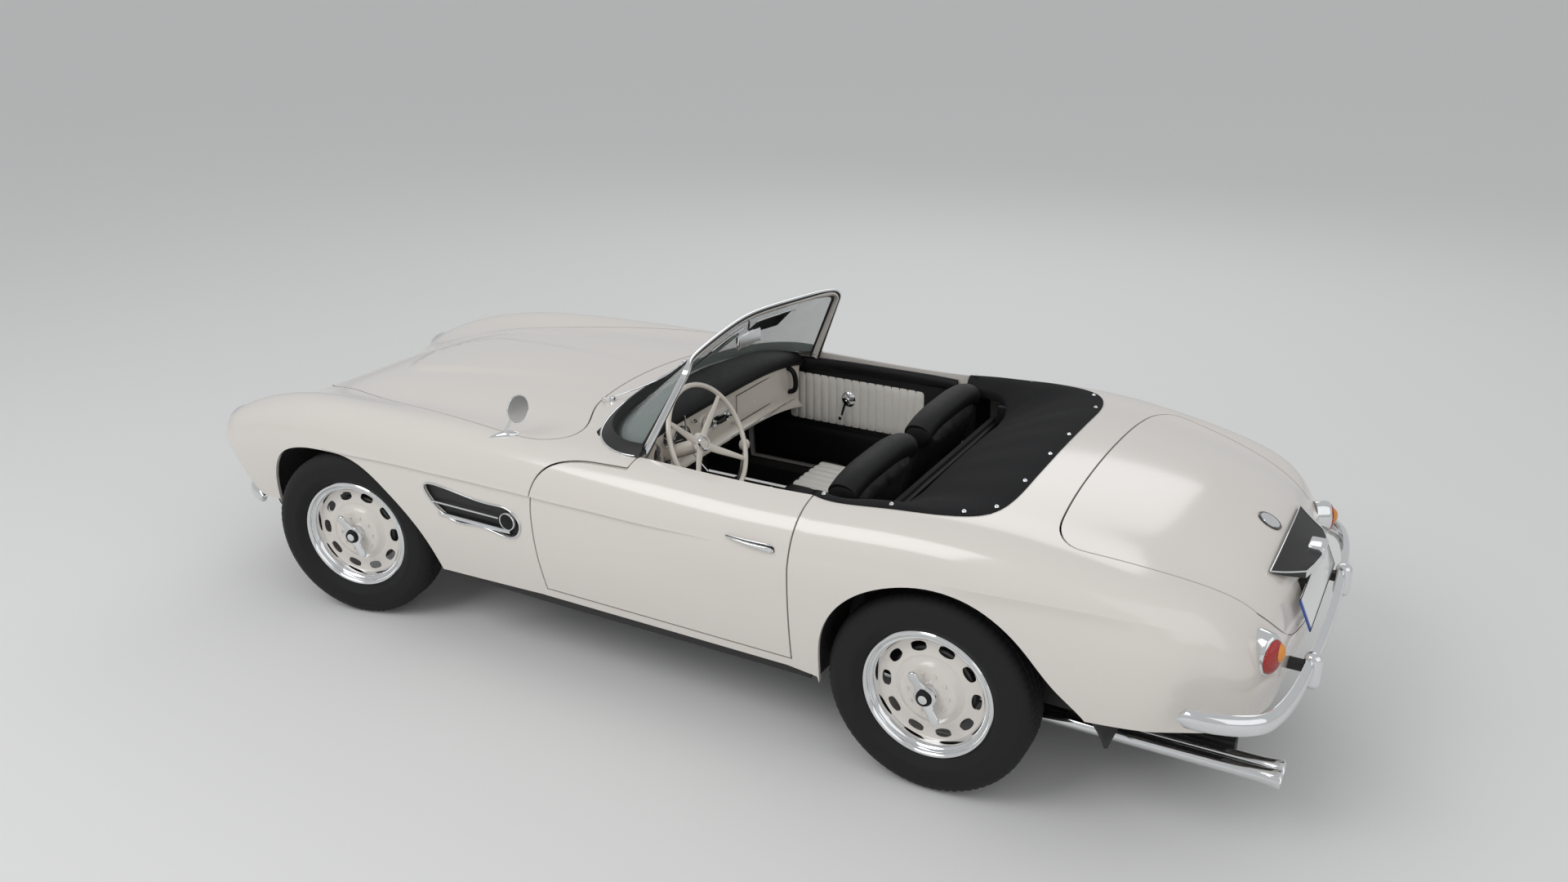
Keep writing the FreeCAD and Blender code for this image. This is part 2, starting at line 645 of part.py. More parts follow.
king_y = size("kingpin_y")
stub_radius, bore_radius = 20, 20.05
arm_low, arm_high = 226, 436
arm_wall = 20
arm_parts = [region("cross_member", front_x - 60, front_x + 60, -rail_out, rail_out, rail_top,
                    arm_high + arm_wall)]
for side, sign in (("left", 1), ("right", -1)):
    for level, z in (("low", arm_low), ("high", arm_high)):
        inner = rail_out if level == "low" else rail_out - 5
        points = [(front_x - 100, sign * inner), (front_x - 24, sign * (king_y + 22)),
                  (front_x + 24, sign * (king_y + 22)), (front_x + 100, sign * inner)]
        arm_parts.append(prism("arm_%s_%s" % (level, side), [(x, y, z) for x, y in points],
                               (0, 0, arm_wall)))
node("front_suspension", group("front_suspension", *arm_parts))

steer = FreeCAD.Rotation(V(0, 0, 1), size("steer_rest"))


def steered(item, sign):
    pivot = V(front_x, sign * king_y, 0)
    item.Placement = FreeCAD.Placement(pivot - steer.multVec(pivot), steer)
    return item


hub_inner, stub_end = -38, 25
track = {"front": size("front_track_half"), "rear": size("rear_track_half")}
for side, sign in (("left", 1), ("right", -1)):
    foot_z, head_z = arm_low + arm_wall + seat_gap, arm_high - seat_gap
    upright = Part.makeCylinder(22, head_z - foot_z, V(front_x, sign * king_y, foot_z))
    reach = track["front"] + stub_end - king_y
    stub = Part.makeCylinder(stub_radius, reach, V(front_x, sign * king_y, axle_z), V(0, sign, 0))
    plate_y = track["front"] + hub_inner - 5
    plate = Part.makeCylinder(85, 4, V(front_x, sign * (plate_y - 4), axle_z), V(0, sign, 0))
    node("knuckle_" + side, steered(solid("knuckle_" + side,
                                          upright.fuse([stub, plate]).removeSplitter()), sign))

axle_reach, axle_end = track["rear"] + hub_inner - 6, track["rear"] + stub_end
half_profile = [(0, axle_end), (stub_radius, axle_end), (stub_radius, axle_reach), (38, axle_reach),
                (38, 120), (98, 70)]
axle_profile = half_profile + [(r, -s) for r, s in reversed(half_profile)]
axle_shape = turned("axle_bare", axle_profile, (rear_x, 0, axle_z), (0, 1, 0)).Shape.fuse([
    Part.makeBox(80, 60, 70, V(rear_x - 40, rail_in, rail_top)),
    Part.makeBox(80, 60, 70, V(rear_x - 40, -rail_out, rail_top))])
node("rear_axle", solid("rear_axle", axle_shape))

# Wheels and tyres.

tyre_radius, tyre_half, rim = size("tyre_radius"), size("tyre_width") / 2, size("rim_radius")
tyre_profile = [(rim + 0.3, -60), (rim + 46, -tyre_half), (tyre_radius - 18, 10 - tyre_half),
                (tyre_radius, 34 - tyre_half), (tyre_radius, tyre_half - 34),
                (tyre_radius - 18, tyre_half - 10), (rim + 46, tyre_half), (rim + 0.3, 60)]
wheel_profile = [(0, 88), (30, 84), (36, 62), (95, 54), (118, 32), (184, 24), (192, 40), (212, 56),
                 (rim, 56), (204, 38), (204, -44), (rim, -56), (194, -50), (194, 14), (118, 22),
                 (100, 40), (100, hub_inner), (bore_radius, hub_inner), (bore_radius, stub_end + 5),
                 (0, stub_end + 5)]
slot_count = 10
slot_line = [(-14, 146), (14, 146), (22, 151), (25, 159), (22, 167), (14, 172), (-14, 172),
             (-22, 167), (-25, 159), (-22, 151), (-14, 146)]
for end, centre_x in (("front", front_x), ("rear", rear_x)):
    for side, sign in (("left", 1), ("right", -1)):
        base, axis = (centre_x, sign * track[end], axle_z), (0, sign, 0)
        tyre = turned("tyre_%s_%s" % (end, side), tyre_profile, base, axis)
        disc = turned("disc_%s_%s" % (end, side), wheel_profile, base, axis)
        slot_face = Part.Face(Part.makePolygon([V(x, 0, z) for x, z in slot_line]))
        slot = slot_face.extrude(V(0, sign * 60, 0))
        slot.translate(V(*base))
        slots = []
        for i in range(slot_count):
            copy = slot.copy()
            copy.rotate(V(*base), V(0, 1, 0), 360 * i / slot_count + 18)
            slots.append(copy)
        slot_item = solid("slots_%s_%s" % (end, side), Part.makeCompound(slots))
        wheel = cut("wheel_%s_%s" % (end, side), disc, slot_item)
        if end == "front":
            steered(tyre, sign)
            steered(wheel, sign)
        node("tyre_%s_%s" % (end, side), tyre)
        node("wheel_%s_%s" % (end, side), wheel)

# Windscreen: a curved sheet between its foot line on the scuttle and its top line.

screen_foot = Part.BSplineCurve()
base_x, base_y = size("screen_base_x"), size("pillar_base_y")
pillar_x = size("pillar_base_x")
foot_line = [(pillar_x, base_y), (pillar_x + 100, base_y - 6), (pillar_x + 190, base_y - 70),
             (base_x - 42, base_y - 250), (base_x, 0)]
top_line = [(size("pillar_top_x"), size("pillar_top_y")),
            (size("pillar_top_x") + 22, size("pillar_top_y") - 36),
            (size("pillar_top_x") + 52, size("pillar_top_y") - 140),
            (size("screen_top_x") - 16, size("pillar_top_y") - 350), (size("screen_top_x"), 0)]


def curve_through(points):
    both = [V(*p) for p in points] + [V(p[0], -p[1], p[2]) for p in reversed(points[:-1])]
    curve = Part.BSplineCurve()
    curve.interpolate(both)
    return curve


foot_curve = curve_through([(x, y, size("screen_base_z") - 75 + 60 * i / 4)
                            for i, (x, y) in enumerate(foot_line)])
top_curve = curve_through([(x, y, size("screen_top_z") - 34 + 34 * i / 4)
                           for i, (x, y) in enumerate(top_line)])


def screen_point(along, up, depth):
    # along runs from the left pillar (0) to the right one (1); depth is behind the outer face.
    def at(curve, share):
        share = min(1, max(0, share))
        return curve.value(curve.FirstParameter
                           + share * (curve.LastParameter - curve.FirstParameter))
    low, high = at(foot_curve, along), at(top_curve, along)
    tangent = at(foot_curve, along + 0.01) - at(foot_curve, along - 0.01)
    normal = tangent.cross(high - low).normalize()
    if normal.dot(low - V(-300, 0, low.z)) < 0:
        normal = normal * -1
    return low + (high - low) * up - normal * depth


def screen_sheet(name, along, up, depths, count=15):
    # A piece of the curved sheet, closed between two depths.
    frames = []
    for i in range(count):
        share = along[0] + (along[1] - along[0]) * i / (count - 1)
        corners = [screen_point(share, up[0], depths[0]), screen_point(share, up[1], depths[0]),
                   screen_point(share, up[1], depths[1]), screen_point(share, up[0], depths[1])]
        frames.append(Part.makePolygon(corners + corners[:1]))
    return solid(name, Part.makeLoft(frames, True, False))


wall, glass = size("screen_wall"), size("glass_wall")
pillar_share, foot_share, head_share = 0.022, 0.16, 0.92
inset_depth = (wall - glass) / 2
band = screen_sheet("screen_band", (0, 1), (0, 1), (0, wall))
window = screen_sheet("screen_window", (pillar_share, 1 - pillar_share), (foot_share, head_share),
                      (-10, wall + 10))
node("windscreen_frame", cut("windscreen_frame", cut("screen_open", band, window), body_form))
node("windscreen_glass", screen_sheet("windscreen_glass", (pillar_share + 0.0003,
                                                            0.9997 - pillar_share),
                                      (foot_share + 0.001, head_share - 0.001),
                                      (inset_depth, inset_depth + glass)))

# Cabin.

dash_profile = [(190, 640), (300, 640), (320, 915), (150, 915), (118, 880), (132, 800)]
dash_raw = side_prism("dash_raw", dash_profile, -632, 632)
column_dir = V(math.cos(math.radians(size("column_rake"))), 0,
               -math.sin(math.radians(size("column_rake"))))
hub = V(size("steering_x"), size("steering_y"), size("steering_z"))
column_length = (size("bulkhead_x") - hub.x - 60) / column_dir.x
column_hole = solid("column_hole", Part.makeCylinder(27, 700, hub + column_dir * 30, column_dir))
node("dashboard", common("dashboard", cut("dash_cut", dash_raw, column_hole), inner_form))
column = Part.makeCylinder(24, column_length, hub + column_dir * 46, column_dir)
column = column.fuse(Part.makeBox(40, 60, 200, V(size("bulkhead_x") - 40, hub.y - 30, 560)))
node("steering_column", solid("steering_column", column))

wheel_r, rim_r = size("steering_wheel_radius"), size("steering_rim")
ring = Part.makeTorus(wheel_r, rim_r, hub, column_dir)
spokes = []
side_dir = V(0, 1, 0)
up_dir = column_dir.cross(side_dir)
for angle in (40, 140, 220, 320):
    spoke = Part.makeBox(wheel_r, 20, 8, V(0, -10, -4))
    spoke.Placement = FreeCAD.Placement(hub, FreeCAD.Rotation(side_dir, up_dir, column_dir * -1,
                                                              "XYZ")).multiply(
        FreeCAD.Placement(V(0, 0, 0), FreeCAD.Rotation(V(0, 0, 1), angle)))
    spokes.append(spoke)
hub_shape = Part.makeCylinder(45, 45.7, hub, column_dir)
node("steering_wheel", solid("steering_wheel", ring.fuse(spokes + [hub_shape]).removeSplitter()))

lever_foot = size("tunnel_height") + seat_gap
node("gear_lever", turned("gear_lever", [(0, 0), (60, 0), (9, 62), (8, 160), (20, 170), (25, 188),
                                         (19, 206), (0, 212)], (40, 0, lever_foot), (0, 0, 1)))

seat_w, seat_in = size("seat_width"), size("seat_inner_y")
cushion_front, cushion_length = size("cushion_front"), size("cushion_length")
back_wall = size("back_wall")
tunnel_half = size("tunnel_half")
cushions, backs = [], []
for side, sign in (("left", 1), ("right", -1)):
    y0, y1 = sorted((sign * (tunnel_half + seat_gap), sign * (seat_w + seat_in)))
    cushions.append(rounded_prism(
        "cushion_" + side, [(cushion_front - cushion_length, y0, floor_top + seat_gap),
                            (cushion_front, y0, floor_top + seat_gap),
                            (cushion_front, y0, floor_top + 195),
                            (cushion_front - cushion_length, y0, floor_top + 165)], 45,
        (0, y1 - y0, 0)))
    lean = math.tan(math.radians(size("back_rake")))
    heel = cushion_front - cushion_length + 60
    foot_back = floor_top + 205
    y0, y1 = sorted((sign * (tunnel_half + seat_gap), sign * (seat_w + seat_in)))
    backs.append(region("back_foot_" + side, heel - 60 - back_wall, heel - 62, y0, y1,
                        floor_top + seat_gap, foot_back + 60))
    y0, y1 = sorted((sign * seat_in, sign * (seat_w + seat_in)))
    backs.append(rounded_prism(
        "back_" + side, [(heel - 60, y0, foot_back), (heel - 60 - back_wall, y0, foot_back - 20),
                         (heel - 60 - back_wall - 380 * lean, y0, foot_back + 400),
                         (heel - 60 - 430 * lean, y0, foot_back + 440)], 45, (0, y1 - y0, 0)))
node("seat_cushions", group("seat_cushions", *cushions))
node("seat_backs", group("seat_backs", *backs))

# The hood lies folded in its well behind the seats, under a soft black cover.

arm_front, arm_inner, arm_foot = back - 110, 568, 776
well_rear = size("rear_bulkhead_x")
cover_plan = prism("cover_plan", [(x, y, arm_foot) for x, y in pushed(both_sides(opening),
                                                                       -seat_gap)], (0, 0, 300))
cover_zone = region("cover_zone", well_back - 50, arm_front, -1000, 1000, arm_foot, 1100)
inner_line = [(arm_front + 50, arm_inner), (well_rear - 14, arm_inner), (well_rear - 60, 470),
              (well_rear - 120, 330), (well_rear - 130, 0)]
cover_inner = plan_prism("cover_inner", inner_line, arm_foot - 10, 400)
cover_rim = cut("cover_rim", common("cover_ring", cover_plan, cover_zone), cover_inner)
trough = region("cover_trough", -1180, well_rear - 20, -540, 540, 560, arm_foot)
trough_hole = region("cover_trough_hole", -1160, well_rear - 40, -520, 520, 580, 800)
node("hood_well_cover", common("hood_well_cover", group("cover_group", cover_rim, cut(
    "cover_trough_open", trough, trough_hole)), body_form))

# Engine, exhaust, bumpers and lamps.

engine = Part.makeBox(560, 420, 420, V(740, -210, rail_top)).fuse([
    Part.makeBox(60, 420, 10, V(1000, -210, rail_top - 10)),
    Part.makeBox(420, 560, 120, V(800, -280, rail_top + 340))])
node("engine", solid("engine", engine))

pipes = []
for y in (458, 512):
    pipes.append(Part.makeCylinder(23, 2900, V(-2100, y, 222), V(1, 0, 0)))
    pipes.append(Part.makeCone(30, 23, 60, V(-2140, y, 222), V(1, 0, 0)))
pipes.append(Part.makeBox(40, 100, floor_z - 222, V(-300, 440, 222)))
pipes.append(Part.makeBox(500, 112, 48, V(-700, rail_out + gap, rail_foot + 8)))
node("exhaust", solid("exhaust", pipes[0].fuse(pipes[1:]).removeSplitter()))


def bumper(name, line, depth, low, tall, guard_y, guard_x, guard_low, guard_tall, mount_x):
    # A wrap-round bar of constant depth with two overriders and its brackets.
    sign = math.copysign(1, line[-1][0])
    both = line + [(x, -y) for x, y in reversed(line[:-1])]
    outer = Part.BSplineCurve()
    outer.interpolate([V(x, y, low) for x, y in both])
    count = 21
    inset_points = []
    for i in range(count):
        at = outer.FirstParameter + (outer.LastParameter - outer.FirstParameter) * i / (count - 1)
        tangent = V(*outer.tangent(at)[0])
        inset_points.append(outer.value(at) + V(tangent.y, -tangent.x, 0) * sign * depth)
    inner = Part.BSplineCurve()
    inner.interpolate(inset_points)
    wire = Part.Wire([outer.toShape(), Part.makeLine(outer.EndPoint, inner.EndPoint),
                      inner.toShape(), Part.makeLine(inner.StartPoint, outer.StartPoint)])
    bar = Part.Face(wire).extrude(V(0, 0, tall))
    parts = [bar]
    for y in (guard_y, -guard_y):
        near = sorted((guard_x, guard_x - sign * 55))
        parts.append(Part.makeBox(near[1] - near[0], 50, guard_tall,
                                  V(near[0], y - 25, guard_low)))
        span = sorted((guard_x - sign * 40, mount_x))
        parts.append(Part.makeBox(span[1] - span[0], 30, 30, V(span[0], y - 15, low + 20)))
    shape = parts[0].fuse(parts[1:]).removeSplitter()
    return cut(name, solid(name + "_bare", shape), body_form)


front_bar = [(1925, 742), (2035, 705), (2110, 610), (2158, 400), (2178, 200), (nose - 8, 0)]
node("front_bumper", bumper("front_bumper", front_bar, 22, 330, 82, 330, nose, 300, 150, 2040))
rear_bar = [(-1871, 800), (-2000, 790), (-2095, 738), (-2145, 620), (-2170, 380), (tail + 8, 0)]
node("rear_bumper", bumper("rear_bumper", rear_bar, 22, 478, 80, 330, tail, 445, 120, -2040))

rims, lenses, tails = [], [], []
for side, sign in (("left", 1), ("right", -1)):
    base, axis = (lamp_x, sign * lamp_y, lamp_z), V(1, 0, 0)
    outer = Part.makeCylinder(lamp_radius + 2.7, 80, V(lamp_x - 50, sign * lamp_y, lamp_z), axis)
    inner = Part.makeCylinder(lamp_radius - 8, 90, V(lamp_x - 40, sign * lamp_y, lamp_z), axis)
    rims.append(solid("lamp_rim_" + side, outer.cut(inner)))
    ball = Part.makeSphere(160, V(lamp_x - 115, sign * lamp_y, lamp_z))
    core = Part.makeCylinder(lamp_radius - 8 - seat_gap, 80, V(lamp_x - 40 + seat_gap,
                                                              sign * lamp_y, lamp_z), axis)
    lenses.append(solid("lamp_lens_" + side, core.common(ball)))
    lamp = Part.makeCylinder(44, 70, V(-2072, sign * 575, 668), V(1, 0, 0))
    tails.append(solid("tail_lamp_bare_" + side, lamp))
node("headlamp_rims", group("headlamp_rims", *rims))
node("headlamp_lenses", group("headlamp_lenses", *lenses))
node("tail_lamps", cut("tail_lamps", group("tail_group", *tails), body_form))

bars = [region("grille_bar_%d" % i, nose - 200, nose - 40, -450, 450, 468 + 24 * i, 476 + 24 * i)
        for i in range(5)]
bars += [region("grille_post_%d" % i, nose - 110, nose - 90, y - 6, y + 6, 440, 590)
         for i, y in enumerate((-300, -180, 180, 300))]
node("grille", common("grille", group("grille_bars", *bars), inner_form))

vent_outline = [(908, 652), (600, 656), (478, 640), (452, 600), (470, 556), (620, 552), (800, 556)]
vents = [side_prism("vent_" + side, vent_outline, sign * 780, sign * (half_width + 3))
         for side, sign in (("left", 1), ("right", -1))]
node("side_vents", cut("side_vents", group("vent_group", *vents), body_form))

mirror_x, mirror_y = 600, 742
mirror_seat = skin_top(mirror_x, mirror_y)
base = Part.makeSphere(20, V(0, 0, 0)).transformGeometry(FreeCAD.Matrix(2.2, 0, 0, 0, 0, 0.9, 0, 0,
                                                                      0, 0, 1.1, 0, 0, 0, 0, 1))
base.rotate(V(0, 0, 0), V(0, 0, 1), 15)
base.translate(V(mirror_x, mirror_y, mirror_seat))
stalk = Part.makeCylinder(5, 108, V(mirror_x - 20, mirror_y - 4, mirror_seat), V(-0.6, -0.35, 1))
glass_disc = Part.makeCylinder(52, 14, V(mirror_x - 86, mirror_y - 38, mirror_seat + 112),
                               V(1, 0.1, 0))
node("wing_mirror", cut("wing_mirror", solid("mirror_bare", base.fuse([stalk, glass_disc])),
                        body_form))

plate = prism("plate_bare", [(-2090, -260, 690), (-2136, -260, 588), (-2060, -260, 588),
                             (-2020, -260, 690)], (0, 520, 0))
hood = prism("lamp_hood", [(-1960, -130, 760), (-2078, -75, 770), (-2078, 75, 770),
                           (-1960, 130, 760)], (0, 0, 38))
node("number_plate", cut("number_plate", group("plate_group", plate, hood), body_form))


def finish():
    doc.recompute()
    failed = [item.Label for item in doc.Objects if "Invalid" in item.State or "Error" in item.State]
    for name, item in nodes.items():
        if item.Shape.isNull() or not item.Shape.isValid() or not item.Shape.Solids:
            failed.append(name)
    if failed:
        raise SystemExit("failed: " + ", ".join(failed))
    os.makedirs("parts", exist_ok=True)
    for name, item in nodes.items():
        item.Shape.exportStep("parts/" + name + ".step")
    print(len(nodes), "nodes,", sum(len(item.Shape.Solids) for item in nodes.values()), "solids")


finish()
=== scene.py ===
import bmesh
import bpy
import json
import math
import numpy as np
from mathutils import Matrix, Vector
from mathutils.bvhtree import BVHTree

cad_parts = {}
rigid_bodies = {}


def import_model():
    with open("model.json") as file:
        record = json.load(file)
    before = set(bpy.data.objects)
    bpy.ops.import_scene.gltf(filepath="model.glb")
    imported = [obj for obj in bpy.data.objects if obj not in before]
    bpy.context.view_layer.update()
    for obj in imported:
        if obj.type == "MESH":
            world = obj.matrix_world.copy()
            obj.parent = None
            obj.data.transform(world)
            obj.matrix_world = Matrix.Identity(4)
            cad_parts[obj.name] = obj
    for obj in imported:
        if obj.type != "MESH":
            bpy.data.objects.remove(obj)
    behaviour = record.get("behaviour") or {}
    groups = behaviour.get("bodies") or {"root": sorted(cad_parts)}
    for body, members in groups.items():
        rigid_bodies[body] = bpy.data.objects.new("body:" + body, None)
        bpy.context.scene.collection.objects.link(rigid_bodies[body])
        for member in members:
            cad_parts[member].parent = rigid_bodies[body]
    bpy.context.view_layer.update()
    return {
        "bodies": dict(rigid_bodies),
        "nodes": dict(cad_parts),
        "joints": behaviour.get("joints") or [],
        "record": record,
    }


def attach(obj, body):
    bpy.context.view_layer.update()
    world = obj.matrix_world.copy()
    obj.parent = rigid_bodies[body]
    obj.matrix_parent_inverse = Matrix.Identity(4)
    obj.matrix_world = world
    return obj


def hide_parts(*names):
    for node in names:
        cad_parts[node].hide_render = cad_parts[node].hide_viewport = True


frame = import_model()
scene = bpy.context.scene
print("frame loaded")


# Camera, floor and light

camera = {"place": (-2.43, 4.023, 2.576), "heading": -60.72, "down": 21.52, "roll": -0.43,
          "lens": 29.8}
studio = {"floor": (0.8, 0.8, 0.79), "sky": 0.55, "keyPower": 190, "fillPower": 90,
          "backPower": 70, "floorSize": 60}


def makeCamera():
    data = bpy.data.cameras.new("camera")
    data.lens = camera["lens"]
    data.sensor_width = 36
    eye = bpy.data.objects.new("camera", data)
    scene.collection.objects.link(eye)
    heading, down, roll = (math.radians(camera[k]) for k in ("heading", "down", "roll"))
    ahead = Vector((math.cos(heading) * math.cos(down), math.sin(heading) * math.cos(down),
                    -math.sin(down)))
    turn = ahead.to_track_quat("-Z", "Y").to_matrix().to_4x4()
    eye.matrix_world = Matrix.Translation(camera["place"]) @ turn @ Matrix.Rotation(roll, 4, "Z")
    scene.camera = eye


def makeLamp(name, place, size, power, target=(0, 0, 0.5)):
    data = bpy.data.lights.new(name, "AREA")
    data.shape = "RECTANGLE"
    data.size, data.size_y = size
    data.energy = power
    lamp = bpy.data.objects.new(name, data)
    lamp.matrix_world = Matrix.Translation(place) @ (
        Vector(target) - Vector(place)).to_track_quat("-Z", "Y").to_matrix().to_4x4()
    scene.collection.objects.link(lamp)


class Finish:
    # A material: node() adds one node, and Term turns Python expressions into Math nodes.
    def __init__(self, name):
        self.material = bpy.data.materials.new(name)
        self.material.use_nodes = True
        self.tree = self.material.node_tree
        self.tree.nodes.clear()
        self.output = self.node("ShaderNodeOutputMaterial", {}, {})
        self.shader = self.node("ShaderNodeBsdfPrincipled", {}, {})
        self.tree.links.new(self.shader.outputs[0], self.output.inputs["Surface"])
        self.place = self.node("ShaderNodeTexCoord", {}, {}).outputs["Object"]

    def node(self, kind, settings, sockets):
        made = self.tree.nodes.new(kind)
        for key, value in settings.items():
            setattr(made, key, value)
        for key, value in sockets.items():
            self.feed(made.inputs[key], value)
        return made

    def feed(self, socket, value):
        if isinstance(value, Term):
            value = value.socket
        if isinstance(value, bpy.types.NodeSocket):
            self.tree.links.new(value, socket)
        else:
            socket.default_value = value

    def set(self, **values):
        names = {"color": "Base Color", "rough": "Roughness", "metal": "Metallic",
                 "coat": "Coat Weight", "coatRough": "Coat Roughness", "alpha": "Alpha",
                 "normal": "Normal", "shine": "Specular IOR Level"}
        for key, value in values.items():
            if key == "color" and isinstance(value, tuple):
                value = value + (1,) if len(value) == 3 else value
            self.feed(self.shader.inputs[names[key]], value)
        return self

    def noise(self, scale, detail=2):
        return Term(self, self.node("ShaderNodeTexNoise", {}, {
            "Vector": self.place, "Scale": scale, "Detail": detail}).outputs[0])

    def grain(self, scale):
        return Term(self, self.node("ShaderNodeTexVoronoi", {"feature": "F1"}, {
            "Vector": self.place, "Scale": scale}).outputs[0])

    def axes(self):
        split = self.node("ShaderNodeSeparateXYZ", {}, {0: self.place})
        return [Term(self, output) for output in split.outputs]

    def mix(self, mask, first, second):
        first, second = (v + (1,) if isinstance(v, tuple) else v for v in (first, second))
        return self.node("ShaderNodeMix", {"data_type": "RGBA"}, {
            0: mask, 6: first, 7: second}).outputs[2]

    def bump(self, height, strength, distance):
        return self.node("ShaderNodeBump", {}, {
            "Height": height, "Strength": strength, "Distance": distance}).outputs[0]


class Term:
    def __init__(self, finish, socket):
        self.finish, self.socket = finish, socket

    def join(self, operation, *values):
        made = self.finish.node("ShaderNodeMath", {"operation": operation},
                                dict(enumerate(values)))
        return Term(self.finish, made.outputs[0])

    def __add__(self, other):
        return self.join("ADD", self, other)

    def __radd__(self, other):
        return self.join("ADD", other, self)

    def __sub__(self, other):
        return self.join("SUBTRACT", self, other)

    def __mul__(self, other):
        return self.join("MULTIPLY", self, other)

    def __gt__(self, other):
        return self.join("GREATER_THAN", self, other)

    def __lt__(self, other):
        return self.join("LESS_THAN", self, other)

    def sine(self):
        return self.join("SINE", self)

    def size(self):
        return self.join("ABSOLUTE", self)


# Finishes

finishValues = {"ivory": (0.765, 0.718, 0.668), "ivoryDeep": (0.78, 0.715, 0.63),
                "black": (0.005, 0.005, 0.006), "whiteHide": (0.84, 0.82, 0.77),
                "chrome": (0.83, 0.84, 0.85), "rubber": (0.013, 0.013, 0.013),
                "red": (0.42, 0.008, 0.006), "amber": (0.85, 0.3, 0.02)}


def makeIvory(name, color, rough=0.16):
    paint = Finish(name)
    haze = paint.noise(3.2, 3)
    dust = paint.noise(38, 3)
    ripple = paint.noise(900, 1)
    shade = paint.mix(haze * 0.5 + dust * 0.12, color, tuple(c * 0.965 for c in color))
    return paint.set(color=shade, rough=rough + dust * 0.05, coat=0.8, coatRough=0.1,
                     normal=paint.bump(ripple, 0.015, 0.0004)).material


def makeChrome(name, rough=0.06):
    chrome = Finish(name)
    haze = chrome.noise(26, 3)
    fine = chrome.noise(340, 2)
    return chrome.set(color=chrome.mix(haze * 0.6, finishValues["chrome"], (0.7, 0.71, 0.72)),
                      metal=1.0, rough=rough + haze * 0.05,
                      normal=chrome.bump(fine, 0.02, 0.0003)).material


def makeHide(name, color, deep, scale=420, rough=0.46):
    hide = Finish(name)
    cells = hide.grain(scale)
    folds = hide.noise(34, 4)
    height = cells + folds * 0.6
    return hide.set(color=hide.mix(folds * 0.7, color, deep), rough=rough + folds * 0.14,
                    shine=0.26, normal=hide.bump(height, 0.35, 0.0012)).material


def makeDull(name, color, deep, scale=120, rough=0.7, metal=0.0, depth=0.4):
    dull = Finish(name)
    cloud = dull.noise(scale, 4)
    stain = dull.noise(scale / 14, 3)
    return dull.set(color=dull.mix(cloud * 0.5 + stain * 0.5, color, deep), metal=metal,
                    rough=rough + stain * 0.12, normal=dull.bump(cloud, depth, 0.0008)).material


def makeCloth(name, color, deep, pitch=0.0016):
    cloth = Finish(name)
    x, y, z = cloth.axes()
    turns = math.tau / pitch
    weave = (x * turns).sine() * ((y + z * 0.7) * turns).sine()
    folds = cloth.noise(16, 4)
    height = weave * 0.35 + folds
    return cloth.set(color=cloth.mix(folds, color, deep), rough=0.8 + folds * 0.12, shine=0.25,
                     normal=cloth.bump(height, 0.3, 0.0012)).material


def makeGlass(name, color, alpha, rough=0.02):
    glass = Finish(name)
    edge = glass.node("ShaderNodeFresnel", {}, {"IOR": 1.5}).outputs[0]
    smear = glass.noise(22, 3)
    opacity = Term(glass, edge) * 0.45 + alpha
    glass.material.surface_render_method = "BLENDED"
    return glass.set(color=color, rough=rough + smear * 0.02, alpha=opacity, shine=0.6).material


def makeLens(name, color):
    lens = Finish(name)
    y, z = lens.axes()[1:]
    ribs = (y * 900).sine() * (z * 900).sine()
    cloud = lens.noise(60, 2)
    return lens.set(color=lens.mix(cloud * 0.5, color, tuple(c * 0.6 for c in color)), rough=0.12,
                    coat=0.7, normal=lens.bump(ribs, 0.5, 0.0015)).material


finish = {
    "paint": makeIvory("ivoryPaint", finishValues["ivory"]),
    "wheelPaint": makeIvory("wheelIvory", finishValues["ivory"], 0.22),
    "plastic": makeIvory("ivoryPlastic", finishValues["ivoryDeep"], 0.24),
    "chrome": makeChrome("brightChrome"),
    "steel": makeChrome("brushedSteel", 0.3),
    "blackHide": makeHide("blackHide", finishValues["black"], (0.01, 0.01, 0.01)),
    "whiteHide": makeHide("whiteHide", finishValues["whiteHide"], (0.76, 0.73, 0.67)),
    "cover": makeCloth("blackCover", (0.007, 0.007, 0.008), (0.014, 0.014, 0.015)),
    "carpet": makeDull("blackCarpet", (0.01, 0.01, 0.01), (0.03, 0.03, 0.03), 900, 0.9,
                       0.0, 0.9),
    "seal": makeDull("blackSeal", (0.01, 0.01, 0.01), (0.02, 0.02, 0.02), 200, 0.5),
    "iron": makeDull("castIron", (0.12, 0.12, 0.125), (0.06, 0.058, 0.055), 90, 0.5, 0.8),
    "blackMetal": makeDull("blackMetal", (0.012, 0.012, 0.012), (0.024, 0.023, 0.022), 60, 0.45),
    "glass": makeGlass("clearGlass", (0.5, 0.57, 0.55), 0.05),
    "red": makeLens("redLens", finishValues["red"]),
    "amber": makeLens("amberLens", finishValues["amber"]),
    "clearLens": makeLens("clearLens", (0.8, 0.82, 0.83)),
    "plateWhite": makeIvory("plateWhite", (0.8, 0.8, 0.79), 0.35),
}
print("finishes made")


# Mesh helpers

handed = (("left", 1), ("right", -1))


def newPiece(name, bm, look, body="body", smooth=30, replaced=()):
    # Turns a bmesh into a piece with the named finish that rides on its body.
    mesh = bpy.data.meshes.new(name)
    bm.to_mesh(mesh)
    bm.free()
    piece = bpy.data.objects.new(name, mesh)
    scene.collection.objects.link(piece)
    if look:
        mesh.materials.append(finish[look])
    mesh.shade_smooth()
    if smooth < 180:
        mesh.set_sharp_from_angle(angle=math.radians(smooth))
    if body:
        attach(piece, body)
    if replaced:
        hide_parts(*replaced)
    return piece


